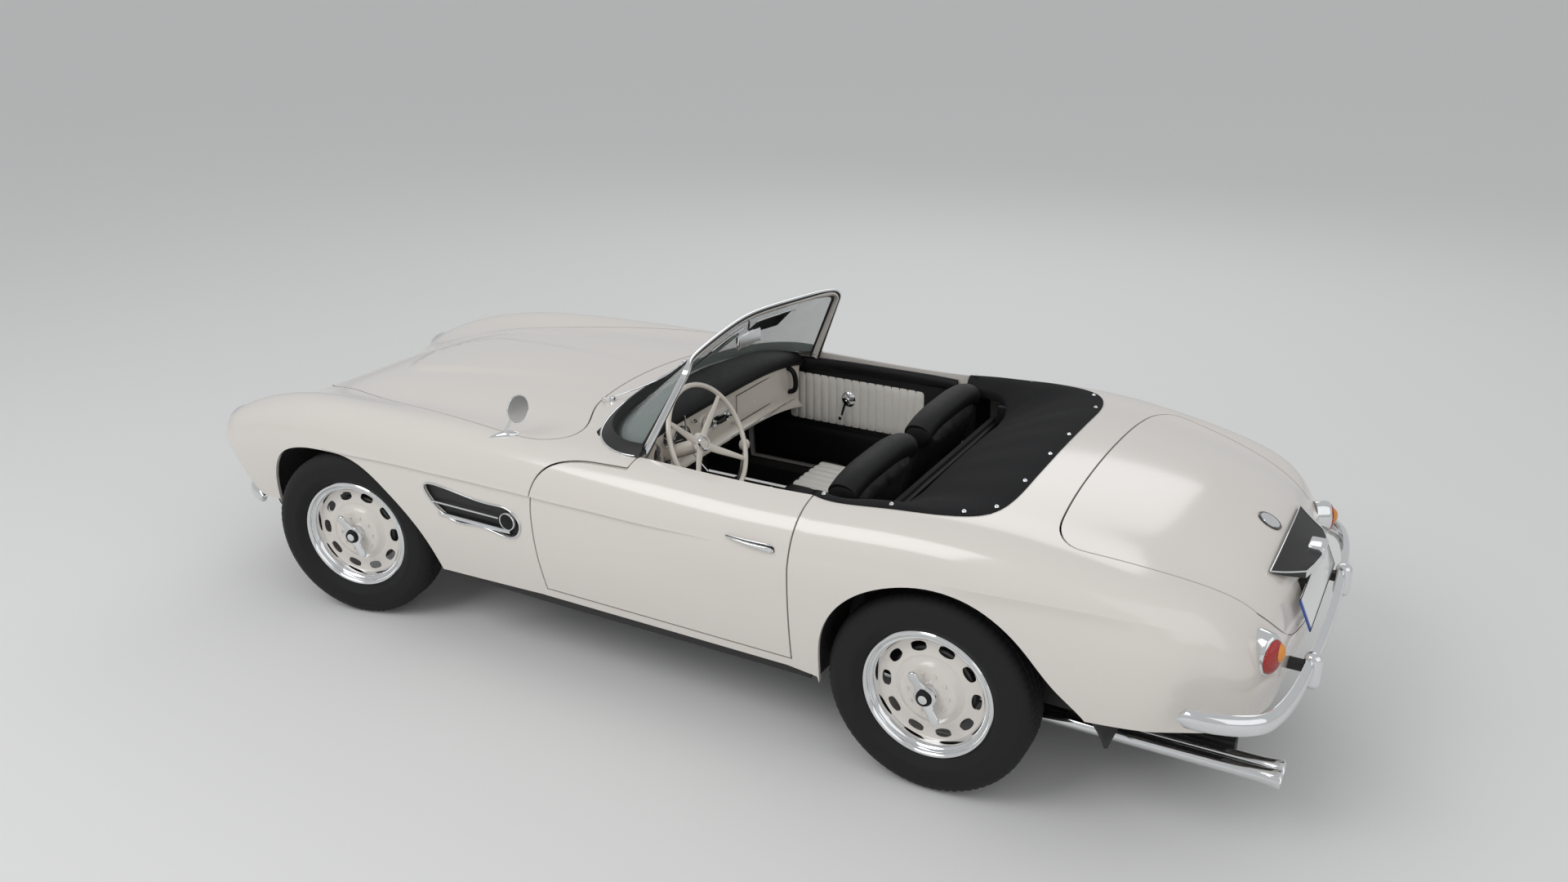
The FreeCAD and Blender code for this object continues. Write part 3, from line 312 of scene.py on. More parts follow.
def stores(count):
    return [bmesh.new() for _ in range(count)]


def put(target, source, matrix=None):
    # Moves one bmesh into another, placed by a matrix.
    mergeInto(target, source, matrix)
    source.free()


def mergeInto(target, source, matrix=None):
    # Adds a copy of one bmesh to another, placed by a matrix.
    mesh = bpy.data.meshes.new("part")
    source.to_mesh(mesh)
    if matrix is not None:
        mesh.transform(matrix)
        if matrix.determinant() < 0:
            mesh.flip_normals()
    target.from_mesh(mesh)
    bpy.data.meshes.remove(mesh)


def onBothSides(bm):
    # Adds the mirror image across the car's middle plane.
    mergeInto(bm, bm.copy(), Matrix.Scale(-1, 4, (0, 1, 0)))
    return bm


def pushOut(bm):
    bmesh.ops.remove_doubles(bm, verts=bm.verts, dist=1e-6)
    bmesh.ops.recalc_face_normals(bm, faces=bm.faces)
    return bm


def prism(outline, low, high, plane="xy"):
    # A closed outline in one plane, pushed through the third direction.
    order = {"xy": lambda a, b, c: (a, b, c), "xz": lambda a, b, c: (a, c, b),
             "yz": lambda a, b, c: (c, a, b)}[plane]
    bm = bmesh.new()
    verts = [bm.verts.new(order(a, b, low)) for a, b in outline]
    face = bm.faces.new(verts)
    made = bmesh.ops.extrude_face_region(bm, geom=[face])
    step = Vector(order(0, 0, high - low))
    bmesh.ops.translate(bm, vec=step, verts=[v for v in made["geom"]
                                             if isinstance(v, bmesh.types.BMVert)])
    bmesh.ops.recalc_face_normals(bm, faces=bm.faces)
    return bm


def domed(radius, start, tall, count):
    # The profile of a dome for lathe(), from its tip out to its rim.
    return [(radius * math.sin(t), start + tall * math.cos(t))
            for t in np.linspace(0, math.pi / 2, count)]


def mirrored(half):
    # An outline that ends on the middle line, carried on to the other side.
    return half + [(x, -y) for x, y in reversed(half[:-1])]


def block(low, high, edge=0.0, segments=3):
    bm = bmesh.new()
    centre = (Vector(low) + Vector(high)) / 2
    size = Vector(high) - Vector(low)
    bmesh.ops.create_cube(bm, size=1, matrix=Matrix.Translation(centre)
                          @ Matrix.Diagonal((*size, 1)))
    if edge:
        bevel(bm, edge, segments)
    return bm


def bevel(bm, width, segments=3, least=20):
    edges = [e for e in bm.edges if len(e.link_faces) == 2
             and e.calc_face_angle(0) > math.radians(least)]
    bmesh.ops.bevel(bm, geom=edges, offset=width, offset_type="OFFSET", segments=segments,
                    profile=0.5, affect="EDGES", clamp_overlap=True, material=-1)
    return bm


def lathe(profile, centre=(0, 0, 0), axis=(0, 0, 1), steps=64):
    # Spins a profile of (radius, distance along the axis) into a closed ring or disc.
    bm = bmesh.new()
    verts = [bm.verts.new((r, 0, s)) for r, s in profile]
    edges = [bm.edges.new(pair) for pair in zip(verts, verts[1:])]
    if profile[0][0] > 0 and profile[-1][0] > 0:
        edges.append(bm.edges.new((verts[-1], verts[0])))
    bmesh.ops.spin(bm, geom=verts + edges, axis=(0, 0, 1), cent=(0, 0, 0),
                   angle=math.tau, steps=steps, use_merge=True)
    bmesh.ops.remove_doubles(bm, verts=bm.verts, dist=1e-6)
    bmesh.ops.holes_fill(bm, edges=[e for e in bm.edges if e.is_boundary], sides=0)
    bmesh.ops.recalc_face_normals(bm, faces=bm.faces)
    turn = Vector(axis).to_track_quat("Z", "Y").to_matrix().to_4x4()
    bmesh.ops.transform(bm, matrix=Matrix.Translation(centre) @ turn, verts=bm.verts)
    return bm


def rod(points, radius, sides=12, smooth=True, cyclic=False, ends=True):
    # A round bar along a path of control points.
    data = bpy.data.curves.new("rod", "CURVE")
    data.dimensions = "3D"
    data.bevel_depth = radius
    data.bevel_resolution = max(1, sides // 4 - 1)
    data.use_fill_caps = ends and not cyclic
    data.resolution_u = 6
    spline = data.splines.new("NURBS" if smooth else "POLY")
    spline.points.add(len(points) - 1)
    for spot, point in zip(spline.points, points):
        spot.co = (*point, 1)
    spline.use_cyclic_u = cyclic
    if smooth:
        spline.order_u = 4 if len(points) > 3 else 3
        spline.use_endpoint_u = not cyclic
    holder = bpy.data.objects.new("rod", data)
    scene.collection.objects.link(holder)
    mesh = bpy.data.meshes.new_from_object(holder)
    bm = bmesh.new()
    bm.from_mesh(mesh)
    for item, store in ((holder, bpy.data.objects), (data, bpy.data.curves),
                        (mesh, bpy.data.meshes)):
        store.remove(item)
    return pushOut(bm)


def carve(base, tool, operation="DIFFERENCE"):
    # Boolean of two closed bmeshes; gives back a new bmesh and frees both.
    holders = []
    for bm in (base, tool):
        mesh = bpy.data.meshes.new("carve")
        bm.to_mesh(mesh)
        bm.free()
        holder = bpy.data.objects.new("carve", mesh)
        scene.collection.objects.link(holder)
        holders.append(holder)
    change = holders[0].modifiers.new("carve", "BOOLEAN")
    change.operation = operation
    change.solver = "MANIFOLD"
    change.object = holders[1]
    mesh = bpy.data.meshes.new_from_object(
        holders[0].evaluated_get(bpy.context.evaluated_depsgraph_get()))
    result = bmesh.new()
    result.from_mesh(mesh)
    bpy.data.meshes.remove(mesh)
    for holder in holders:
        data = holder.data
        bpy.data.objects.remove(holder)
        bpy.data.meshes.remove(data)
    return result


def joined(*items):
    bm = items[0]
    for other in items[1:]:
        put(bm, other)
    return bm


# Body skin: one smooth surface steered by five rails along the left side, in millimetres

rails = {
    "centre": {0: (2010, 0, 270), 1: (2085, 0, 400), 2: (2130, 0, 535), 3: (2090, 0, 630),
               4: (1860, 0, 762), 5: (1620, 0, 838), 6: (1370, 0, 876), 7: (1000, 0, 908),
               8: (600, 0, 921), 9: (250, 0, 928), 10: (-200, 0, 930), 11: (-650, 0, 935),
               12: (-1110, 0, 946), 13: (-1500, 0, 922), 14: (-1800, 0, 868),
               15: (-1985, 0, 795), 16: (-2078, 0, 690), 17: (-2118, 0, 560),
               18: (-2102, 0, 420), 19: (-2050, 0, 270)},
    "valley": {0: (1960, 470, 270), 1: (2065, 500, 430), 2: (2152, 500, 585),
               3: (2098, 500, 690), 4: (1860, 430, 754), 5: (1620, 500, 820),
               6: (1370, 578, 846), 7: (1000, 612, 872), 8: (600, 640, 890),
               9: (250, 640, 902), 10: (-200, 630, 900), 11: (-650, 620, 902),
               12: (-1110, 600, 924), 13: (-1500, 580, 886), 14: (-1800, 545, 822),
               15: (-1966, 505, 752), 16: (-2048, 480, 655), 17: (-2086, 455, 540),
               18: (-2072, 445, 410), 19: (-2030, 420, 270)},
    "crest": {0: (1915, 588, 270), 1: (2060, 610, 460), 2: (2190, 602, 612),
              3: (2108, 618, 724), 4: (1863, 668, 818), 5: (1620, 690, 868),
              6: (1370, 702, 895), 7: (1000, 708, 907), 8: (600, 710, 910),
              9: (250, 709, 902), 10: (-200, 706, 890), 11: (-650, 708, 890),
              12: (-1110, 706, 923), 13: (-1500, 686, 888), 14: (-1800, 648, 830),
              15: (-1950, 605, 758), 16: (-2025, 568, 655), 17: (-2056, 538, 530),
              18: (-2040, 528, 400), 19: (-1998, 515, 270)},
    "waist": {0: (1850, 662, 270), 1: (1975, 722, 440), 2: (2040, 752, 560),
              3: (1982, 762, 640), 4: (1803, 778, 668), 5: (1610, 799, 697),
              6: (1370, 810, 703), 7: (1000, 821, 698), 8: (600, 825, 711),
              9: (250, 827, 715), 10: (-200, 828, 723), 11: (-650, 828, 723),
              12: (-1110, 828, 743), 13: (-1500, 804, 703), 14: (-1790, 766, 655),
              15: (-1890, 722, 620), 16: (-1958, 680, 560), 17: (-1978, 650, 470),
              18: (-1966, 630, 375), 19: (-1945, 592, 270)},
    "hem": {0: (1710, 708, 270), 2: (1630, 722, 270), 4: (1548, 736, 270), 6: (1288, 752, 270),
            8: (600, 764, 270), 10: (-200, 768, 270), 12: (-1110, 768, 270),
            14: (-1650, 728, 270), 16: (-1760, 690, 270), 19: (-1850, 655, 270)},
}
skinValues = {"stations": 20, "pointsAcross": 16, "finenessAlong": 5, "finenessAcross": 5,
              "wall": 0.012}


def splineThrough(knots, points):
    # A smooth curve through points at given knots, as a function of the parameter.
    knots, points = np.array(knots, float), np.array(points, float)
    gaps = np.diff(knots)
    slopes = np.diff(points, axis=0) / gaps[:, None]
    count = len(knots)
    matrix, right = np.zeros((count, count)), np.zeros_like(points)
    matrix[0, 0] = matrix[-1, -1] = 1
    bendIn = (slopes[1] - slopes[0]) / (gaps[0] + gaps[1])
    bendOut = (slopes[-1] - slopes[-2]) / (gaps[-1] + gaps[-2])
    right[0], right[-1] = slopes[0] - bendIn * gaps[0], slopes[-1] + bendOut * gaps[-1]
    for i in range(1, count - 1):
        matrix[i, i - 1:i + 2] = gaps[i], 2 * (gaps[i - 1] + gaps[i]), gaps[i - 1]
        right[i] = 3 * (gaps[i] * slopes[i - 1] + gaps[i - 1] * slopes[i])
    tangents = np.linalg.solve(matrix, right)

    def at(values):
        values = np.atleast_1d(np.asarray(values, float))
        spot = np.clip(np.searchsorted(knots, values, "right") - 1, 0, count - 2)
        width = gaps[spot][:, None]
        t = ((values - knots[spot]) / gaps[spot])[:, None]
        p, q, m, n = points[spot], points[spot + 1], tangents[spot], tangents[spot + 1]
        return ((2 * t**3 - 3 * t**2 + 1) * p + (t**3 - 2 * t**2 + t) * width * m
                + (3 * t**2 - 2 * t**3) * q + (t**3 - t**2) * width * n)
    return at


def evenly(points, count):
    points = np.array(points, float)
    knots = np.concatenate([[0], np.cumsum(np.linalg.norm(np.diff(points, axis=0), axis=1))])
    curve = splineThrough(knots, points)
    fine = curve(np.linspace(0, knots[-1], 600))
    along = np.concatenate([[0], np.cumsum(np.linalg.norm(np.diff(fine, axis=0), axis=1))])
    spots = np.interp(np.linspace(0, along[-1], count), along, np.linspace(0, knots[-1], 600))
    return curve(spots)


railCurves = {name: splineThrough(sorted(rail), [rail[k] for k in sorted(rail)])
              for name, rail in rails.items()}


def section(station):
    centre, valley, top, waist, foot = (railCurves[n](station)[0] for n in (
        "centre", "valley", "crest", "waist", "hem"))
    row = [centre]
    for share in (0.4, 0.74):
        point = centre + (valley - centre) * share
        point[2] = centre[2] + (valley[2] - centre[2]) * share ** 2
        row.append(point)
    row += [valley, (valley + top) / 2, top]
    for degrees in (32, 61):
        c, s = math.cos(math.radians(degrees)), math.sin(math.radians(degrees))
        row.append(np.array([waist[0] + (top[0] - waist[0]) * c,
                             top[1] + (waist[1] - top[1]) * s, waist[2] + (top[2] - waist[2]) * c]))
    row.append(waist)
    power = 1 if station in (0, skinValues["stations"] - 1) else 2
    for share in (0.36, 0.7):
        point = waist + (foot - waist) * share
        point[:2] = waist[:2] + (foot[:2] - waist[:2]) * share ** power
        row.append(point)
    return row + [foot]


def steering(count, samples):
    # Weights of a clamped cubic B-spline's control points at the sample places.
    knots = np.concatenate([[0] * 3, np.arange(count - 2), [count - 3] * 3]).astype(float)
    samples = np.minimum(samples, count - 3 - 1e-9)
    weights = ((knots[:-1, None] <= samples) & (samples < knots[1:, None])).astype(float)
    for degree in range(1, 4):
        size = len(knots) - 1 - degree
        fresh = np.zeros((size, len(samples)))
        for i in range(size):
            left, right = knots[i + degree] - knots[i], knots[i + degree + 1] - knots[i + 1]
            if left:
                fresh[i] += (samples - knots[i]) / left * weights[i]
            if right:
                fresh[i] += (knots[i + degree + 1] - samples) / right * weights[i + 1]
        weights = fresh
    return weights.T


def skinPoles():
    rows = []
    for i in range(2 * skinValues["stations"] - 1):
        row = evenly(section(i / 2), skinValues["pointsAcross"])
        row[0][1] = 0
        row[-1][2] = 270
        if i in (0, 2 * skinValues["stations"] - 2):
            row[:, 2] = 270
        mirror = row[:0:-1] * (1, -1, 1)
        rows.append(np.concatenate([mirror, row]))
    return np.array(rows) / 1000


# A crease runs from the front arch over the door, and a soft one behind the rear arch.
crease = {"line": [(1.5, 0.706), (1.288, 0.712), (1.08, 0.722), (0.909, 0.725), (0.727, 0.729),
                   (0.4, 0.731), (0.04, 0.73), (-0.4, 0.734), (-0.8, 0.75), (-1.159, 0.768),
                   (-1.44, 0.773), (-1.616, 0.768), (-1.784, 0.757), (-1.865, 0.745)],
          "step": 0.009, "roll": 0.004, "soft": 0.01, "above": 46, "ledge": 0.03}

# The bonnet's raised centre ends in a round front edge: (x, half width) along its side.
scoop = {"edge": [(0.4, 0.085), (0.544, 0.104), (0.698, 0.125), (0.847, 0.151), (1.032, 0.175),
                  (1.222, 0.2), (1.38, 0.226), (1.44, 0.224), (1.5, 0.19), (1.55, 0.13),
                  (1.58, 0.065), (1.6, 0.0), (1.64, -0.08)],
         "height": 0.014}
creaseLine = np.array(crease["line"][::-1]).T


def eased(value, low, high):
    share = np.clip((value - low) / (high - low), 0, 1)
    return share * share * (3 - 2 * share)


def skinGrid(along, across):
    # Columns of the grid follow the crease, with one narrow strip for its ledge.
    poles = skinPoles()
    span = len(poles[0]) - 3
    rows = np.einsum("ai,ijk->ajk", steering(len(poles), np.linspace(0, len(poles) - 3, along)),
                     poles)
    fine = np.linspace(span / 2, span, 400)
    sides = np.einsum("ajk,bj->abk", rows, steering(len(poles[0]), fine))
    lineX, lineZ = creaseLine
    spots = []
    for side in sides:
        crest = side[:, 2].argmax()
        under = [k for k in range(crest, 400) if side[k, 2] < np.interp(side[k, 0], lineX, lineZ)]
        inRange = under and lineX[0] < side[under[0], 0] < lineX[-1]
        spots.append(fine[under[0]] if inRange else np.nan)
    spots = np.array(spots)
    known = ~np.isnan(spots)
    order = np.arange(along)
    spots = np.interp(order, order[known], spots[known])
    kernel = np.hanning(9) / np.hanning(9).sum()
    spots = np.convolve(np.pad(spots, 4, "edge"), kernel, "valid")
    grid = np.empty((along, across, 3))
    below = across // 2 - crease["above"]
    for i, spot in enumerate(spots):
        half = np.concatenate([np.linspace(span / 2, spot, crease["above"] + 1),
                               np.linspace(spot + crease["ledge"], span, below)])
        whole = np.concatenate([span - half[:0:-1], half])
        grid[i] = steering(len(poles[0]), whole) @ rows[i]
    return grid


def creased(points):
    # Rolls the surface out above the crease, sets it back below, and raises the bonnet's middle.
    lineX, lineZ = creaseLine
    x, y, z = (points[..., k] for k in range(3))
    column = np.abs(np.arange(gridAcross) - middleColumn)[None, :]
    low = column > crease["above"]
    drop = np.interp(x, lineX, lineZ) - z
    sharp = eased(x, -0.42, -0.02) * (1 - eased(x, 1.32, 1.48))
    soft = (1 - eased(x, -1.3, -1.08)) * eased(x, -1.9, -1.62)
    side = eased(np.abs(y), 0.6, 0.74)
    fade = 1 - eased(drop, 0.03, 0.27)
    depth = np.where(low, crease["step"] * fade * sharp,
                     -crease["roll"] * sharp * (1 - eased(-drop, 0.0, 0.055)))
    depth = depth + soft * (crease["soft"] * eased(drop, -0.004, 0.04) * (
        1 - eased(drop, 0.05, 0.3)) - 0.003 * (1 - eased(np.abs(drop + 0.012), 0, 0.045)))
    shifted = points.copy()
    shifted[..., 1] -= np.sign(y) * depth * side
    ridge = np.interp(x, *np.array(scoop["edge"]).T)
    rise = scoop["height"] * eased(x, 0.5, 1.4) * (
        1 - eased(np.abs(y), ridge - 0.01, ridge + 0.045))
    shifted[..., 2] += np.where((z > 0.6) & (np.abs(y) < 0.4), rise, 0)
    return shifted


def patchNormals(points):
    # Normals of the roof patch and of the two side patches, each by itself.
    cuts = [0, middleColumn - crease["above"], middleColumn + crease["above"] + 1, gridAcross]
    normals = np.empty_like(points)
    for start, end in zip(cuts, cuts[1:]):
        patch = points[:, start:end]
        made = np.cross(np.gradient(patch, axis=1), np.gradient(patch, axis=0))
        normals[:, start:end] = made / np.linalg.norm(made, axis=2)[..., None]
    return normals if normals[gridAlong // 2, middleColumn, 2] > 0 else -normals


gridAlong = 36 * skinValues["finenessAlong"] + 1
gridAcross = 28 * skinValues["finenessAcross"] + 1
middleColumn = gridAcross // 2
skinPoints = creased(skinGrid(gridAlong, gridAcross))
skinNormals = patchNormals(skinPoints)


def skinMesh(shift):
    # A grid of quads laid on the skin and moved inward by shift.
    bm = bmesh.new()
    bmesh.ops.create_grid(bm, x_segments=gridAcross - 1, y_segments=gridAlong - 1, size=1)
    bm.verts.ensure_lookup_table()
    spots = skinPoints - skinNormals * shift
    for vert in bm.verts:
        j = round((vert.co.x + 1) / 2 * (gridAcross - 1))
        i = round((vert.co.y + 1) / 2 * (gridAlong - 1))
        vert.co = spots[i, j]
    bmesh.ops.recalc_face_normals(bm, faces=bm.faces)
    return bm


def skinShell(wall):
    # The outer grid, a copy inside it, and the rim between them.
    bm = skinMesh(0)
    up = max(bm.faces, key=lambda f: f.calc_center_median().z)
    if up.normal.z < 0:
        bmesh.ops.reverse_faces(bm, faces=bm.faces)
    inner = skinMesh(wall)
    put(bm, inner)
    rim = [e for e in bm.edges if e.is_boundary]
    bmesh.ops.bridge_loops(bm, edges=rim)
    bmesh.ops.recalc_face_normals(bm, faces=bm.faces)
    return bm


def solidBody(shift=0):
    # The skin, or a copy of it moved inward, closed by a flat underside.
    bm = skinMesh(shift)
    bmesh.ops.holes_fill(bm, edges=[e for e in bm.edges if e.is_boundary], sides=0)
    bmesh.ops.triangulate(bm, faces=[f for f in bm.faces if len(f.verts) > 4])
    bmesh.ops.recalc_face_normals(bm, faces=bm.faces)
    return bm


skinTree = BVHTree.FromPolygons(
    [Vector(p) for p in skinPoints.reshape(-1, 3)],
    [(i * gridAcross + j, i * gridAcross + j + 1, (i + 1) * gridAcross + j + 1,
      (i + 1) * gridAcross + j) for i in range(gridAlong - 1) for j in range(gridAcross - 1)])


def skinHit(start, direction):
    return skinTree.ray_cast(Vector(start), Vector(direction))[0]


def skinTop(x, y):
    return skinHit((x, y, 2), (0, 0, -1))


def skinSide(x, z, side=1):
    return skinHit((x, side * 2, z), (0, -side, 0))


def skinFront(y, z):
    return skinHit((3, y, z), (-1, 0, 0))


def skinNormal(point):
    face = skinTree.find_nearest(Vector(point))[2]
    i, j = divmod(face, gridAcross - 1)
    return Vector(skinNormals[i:i + 2, j:j + 2].mean(axis=(0, 1))).normalized()


glossyValues = {"reach": 0.0012, "facing": 0.7}


def glossy(piece):
    # Gives the outer faces the skin's own normals, so reflections run on without ripples.
    mesh = piece.data
    mesh.calc_loop_triangles()
    gridNormals, gridPoints = skinNormals.reshape(-1, 3), skinPoints.reshape(-1, 3)
    normals, known = [], {}
    corner = [Vector(n.vector) for n in mesh.corner_normals]

    def corners(face):
        # The grid points of a face, each with its side of the crease.
        i, j = divmod(face, gridAcross - 1)
        return [(row * gridAcross + column, abs(column - middleColumn) > crease["above"])
                for row in (i, i + 1) for column in (j, j + 1)]

    for polygon in mesh.polygons:
        face, distance = skinTree.find_nearest(polygon.center)[2:]
        own = corners(face)
        patch = own[0][1]
        outer = (distance < glossyValues["reach"] and patch == own[1][1]
                 and polygon.normal.dot(skinNormal(polygon.center)) > glossyValues["facing"])
        for index in polygon.loop_indices:
            if not outer:
                normals.append(corner[index])
                continue
            vert = mesh.loops[index].vertex_index
            if (vert, patch) not in known:
                spot, _, near, _ = skinTree.find_nearest(mesh.vertices[vert].co)
                ring = [k for k, part in corners(near) if part == patch]
                total = np.zeros(3)
                for k in ring or [k for k, part in own]:
                    total += gridNormals[k] / (np.linalg.norm(gridPoints[k] - np.array(spot))
                                               + 1e-5)
                known[vert, patch] = Vector(total).normalized()
            normals.append(known[vert, patch])
    mesh.normals_split_custom_set(normals)


# Shut lines and openings of the body, in metres

doorFoot, gap = 0.354, 0.006
archInner, doorInner, ventInner = 0.56, 0.672, 0.79
lampHole = {"place": (2.145, 0.602, 0.612), "radius": 0.0925, "reach": (-0.15, 0.2)}
bonnetHalf = [(2.034, 0), (2.022, 0.11), (1.972, 0.228), (1.884, 0.322), (1.764, 0.398),
              (1.6, 0.47), (1.317, 0.56), (1.04, 0.618), (0.73, 0.676), (0.55, 0.702),
              (0.42, 0.694), (0.35, 0.64), (0.34, 0.575), (0.368, 0.49), (0.417, 0.395),
              (0.462, 0.23), (0.478, 0)]
bootHalf = [(-1.405, 0), (-1.4057, 0.125), (-1.408, 0.25), (-1.412, 0.36), (-1.419, 0.47),
            (-1.445, 0.578), (-1.491, 0.622), (-1.555, 0.616), (-1.735, 0.566), (-1.935, 0.492),
            (-2.045, 0.44), (-2.205, 0.35), (-2.305, 0.2), (-2.335, 0)]
bootRearHalf = [(0.566, 0), (0.572, 0.2), (0.606, 0.33), (0.69, 0.432), (0.79, 0.53), (0.95, 0.68),
                (1.15, 0.6), (1.25, 0)]
doorCurve = [(0.373, 0.354), (0.386, 0.48), (0.395, 0.61), (0.392, 0.72), (0.38, 0.769),
             (0.366, 0.798), (0.347, 0.822), (0.322, 0.841), (0.284, 0.856), (0.24, 0.865),
             (0.19, 0.87), (0.11, 0.872), (0.02, 0.873)]
doorRest = [(0.006, 1.1), (-0.665, 1.1), (-0.653, 0.86), (-0.641, 0.705), (-0.635, 0.354)]
openingHalf = [(0.31, 0), (0.3, 0.2), (0.258, 0.4), (0.196, 0.56), (0.12, 0.638), (0.02, 0.664),
               (-0.3, 0.664), (-0.641, 0.668), (-0.711, 0.686), (-0.95, 0.678), (-1.12, 0.656),
               (-1.222, 0.59), (-1.25, 0.5), (-1.262, 0.3), (-1.262, 0)]
frontArch = [(1.812, 0.18), (1.8, 0.4), (1.765, 0.545), (1.709, 0.626), (1.606, 0.676),
             (1.442, 0.698), (1.269, 0.68), (1.112, 0.592), (0.964, 0.448), (0.902, 0.3),
             (0.88, 0.18)]
rearArch = [(-0.722, 0.18), (-0.736, 0.324), (-0.756, 0.49), (-0.842, 0.63), (-1.008, 0.723),
            (-1.14, 0.742), (-1.273, 0.71), (-1.405, 0.62), (-1.52, 0.49), (-1.61, 0.4),
            (-1.66, 0.18)]
hemLine = [(2.3, 0.398), (2.0, 0.385), (1.805, 0.392), (1.795, 0.1), (0.92, 0.1), (0.9, 0.296),
           (0.408, 0.317), (-0.619, 0.318), (-0.728, 0.304), (-0.76, 0.1), (-1.56, 0.1),
           (-1.6, 0.402), (-1.9, 0.41), (-2.3, 0.42), (-2.3, 0), (2.3, 0)]


def bothSides(half):
    return half + [(x, -y) for x, y in reversed(half[1:-1])]


def pushed(points, grow):
    # A closed outline moved outward by a fixed distance.
    area = sum(p[0] * q[1] - q[0] * p[1] for p, q in zip(points, points[1:] + points[:1]))
    side = 1 if area > 0 else -1
    moved = []
    for i, point in enumerate(points):
        here = Vector(point)
        before, after = Vector(points[i - 1]), Vector(points[(i + 1) % len(points)])
        first, second = (here - before).normalized(), (after - here).normalized()
        middle = (first + second).normalized()
        reach = grow * side / max(0.5, middle.dot(first))
        moved.append((here.x + middle.y * reach, here.y - middle.x * reach))
    return moved


def curved(points, count, closed=True):
    # Even points along the smooth curve through the given ones.
    if not closed:
        return [tuple(p) for p in evenly([(x, y, 0) for x, y in points], count)[:, :2]]
    extra = 4
    ring = points[-extra:] + points + points[:extra + 1]
    flat = np.array([(x, y, 0) for x, y in ring], float)
    knots = np.concatenate([[0], np.cumsum(np.linalg.norm(np.diff(flat, axis=0), axis=1))])
    curve = splineThrough(knots, flat)
    first, last = knots[extra], knots[extra + len(points)]
    return [tuple(p) for p in curve(np.linspace(first, last, count, endpoint=False))[:, :2]]


def bonnetPrism(grow):
    return prism(curved(pushed(bothSides(bonnetHalf), grow), 220), 0.5, 1.1)


def bootPrism(grow):
    plan = prism(curved(pushed(bothSides(bootHalf), grow), 180), 0.4, 1.2)
    rear = [(y, z) for z, y in bothSides(bootRearHalf)]
    return carve(plan, prism(curved(pushed(rear, grow), 180), -2.5, -1.3, "yz"), "INTERSECT")


def doorPrism(grow, near, far):
    outline = pushed(doorCurve + doorRest, grow)
    smooth = curved(outline[:len(doorCurve)], 40, False)
    return prism(smooth + outline[len(doorCurve):], min(near, far), max(near, far), "xz")


def archPrism(points, near, far):
    return prism(curved(points, 60, False), min(near, far), max(near, far), "xz")


def laid(place, along, across, closed=False):
    # A grid whose vertices are moved to place(u, v), with u and v from 0 to 1.
    bm = bmesh.new()
    bmesh.ops.create_grid(bm, x_segments=across, y_segments=along, size=1)
    for vert in bm.verts:
        vert.co = place((vert.co.y + 1) / 2, (vert.co.x + 1) / 2)
    bmesh.ops.remove_doubles(bm, verts=bm.verts, dist=2e-5)
    if closed:
        bmesh.ops.holes_fill(bm, edges=[e for e in bm.edges if e.is_boundary], sides=0)
    bmesh.ops.recalc_face_normals(bm, faces=bm.faces)
    return bm


def sweep(path, profile, up=(0, 0, 1), cyclic=False):
    # A closed profile of (sideways, upwards) points carried along a path.
    path = [Vector(p) for p in path]
    last = len(path) - 1
    ring = list(profile) + [profile[0]]
    frames = []
    for i, point in enumerate(path):
        before = path[i - 1] if i or cyclic else point
        after = path[(i + 1) % len(path)] if i < last or cyclic else point
        ahead = (after - before).normalized()
        rise = Vector(up(i / last) if callable(up) else up)
        side = ahead.cross(rise).normalized()
        frames.append((point, side, side.cross(ahead)))
    if cyclic:
        frames.append(frames[0])

    def place(u, v):
        point, side, rise = frames[round(u * (len(frames) - 1))]
        a, b = ring[round(v * (len(ring) - 1))]
        return point + side * a + rise * b
    return laid(place, len(frames) - 1, len(ring) - 1, True)


def roundBar(width, height, radius, steps=5):
    # Points round a rectangle with rounded corners.
    points = []
    for cx, cy, start in ((1, 1, 0), (-1, 1, 90), (-1, -1, 180), (1, -1, 270)):
        for i in range(steps + 1):
            angle = math.radians(start + 90 * i / steps)
            points.append((cx * (width / 2 - radius) + radius * math.cos(angle),
                           cy * (height / 2 - radius) + radius * math.sin(angle)))
    return points


def oval(width, tall, count, shift=0):
    return [(width * math.cos(a) + shift, tall * math.sin(a))
            for a in np.linspace(0, math.tau, count, endpoint=False)]


def through(points, count=60):
    # Even points on the smooth line through the given ones.
    return [Vector(p) for p in evenly(points, count)]


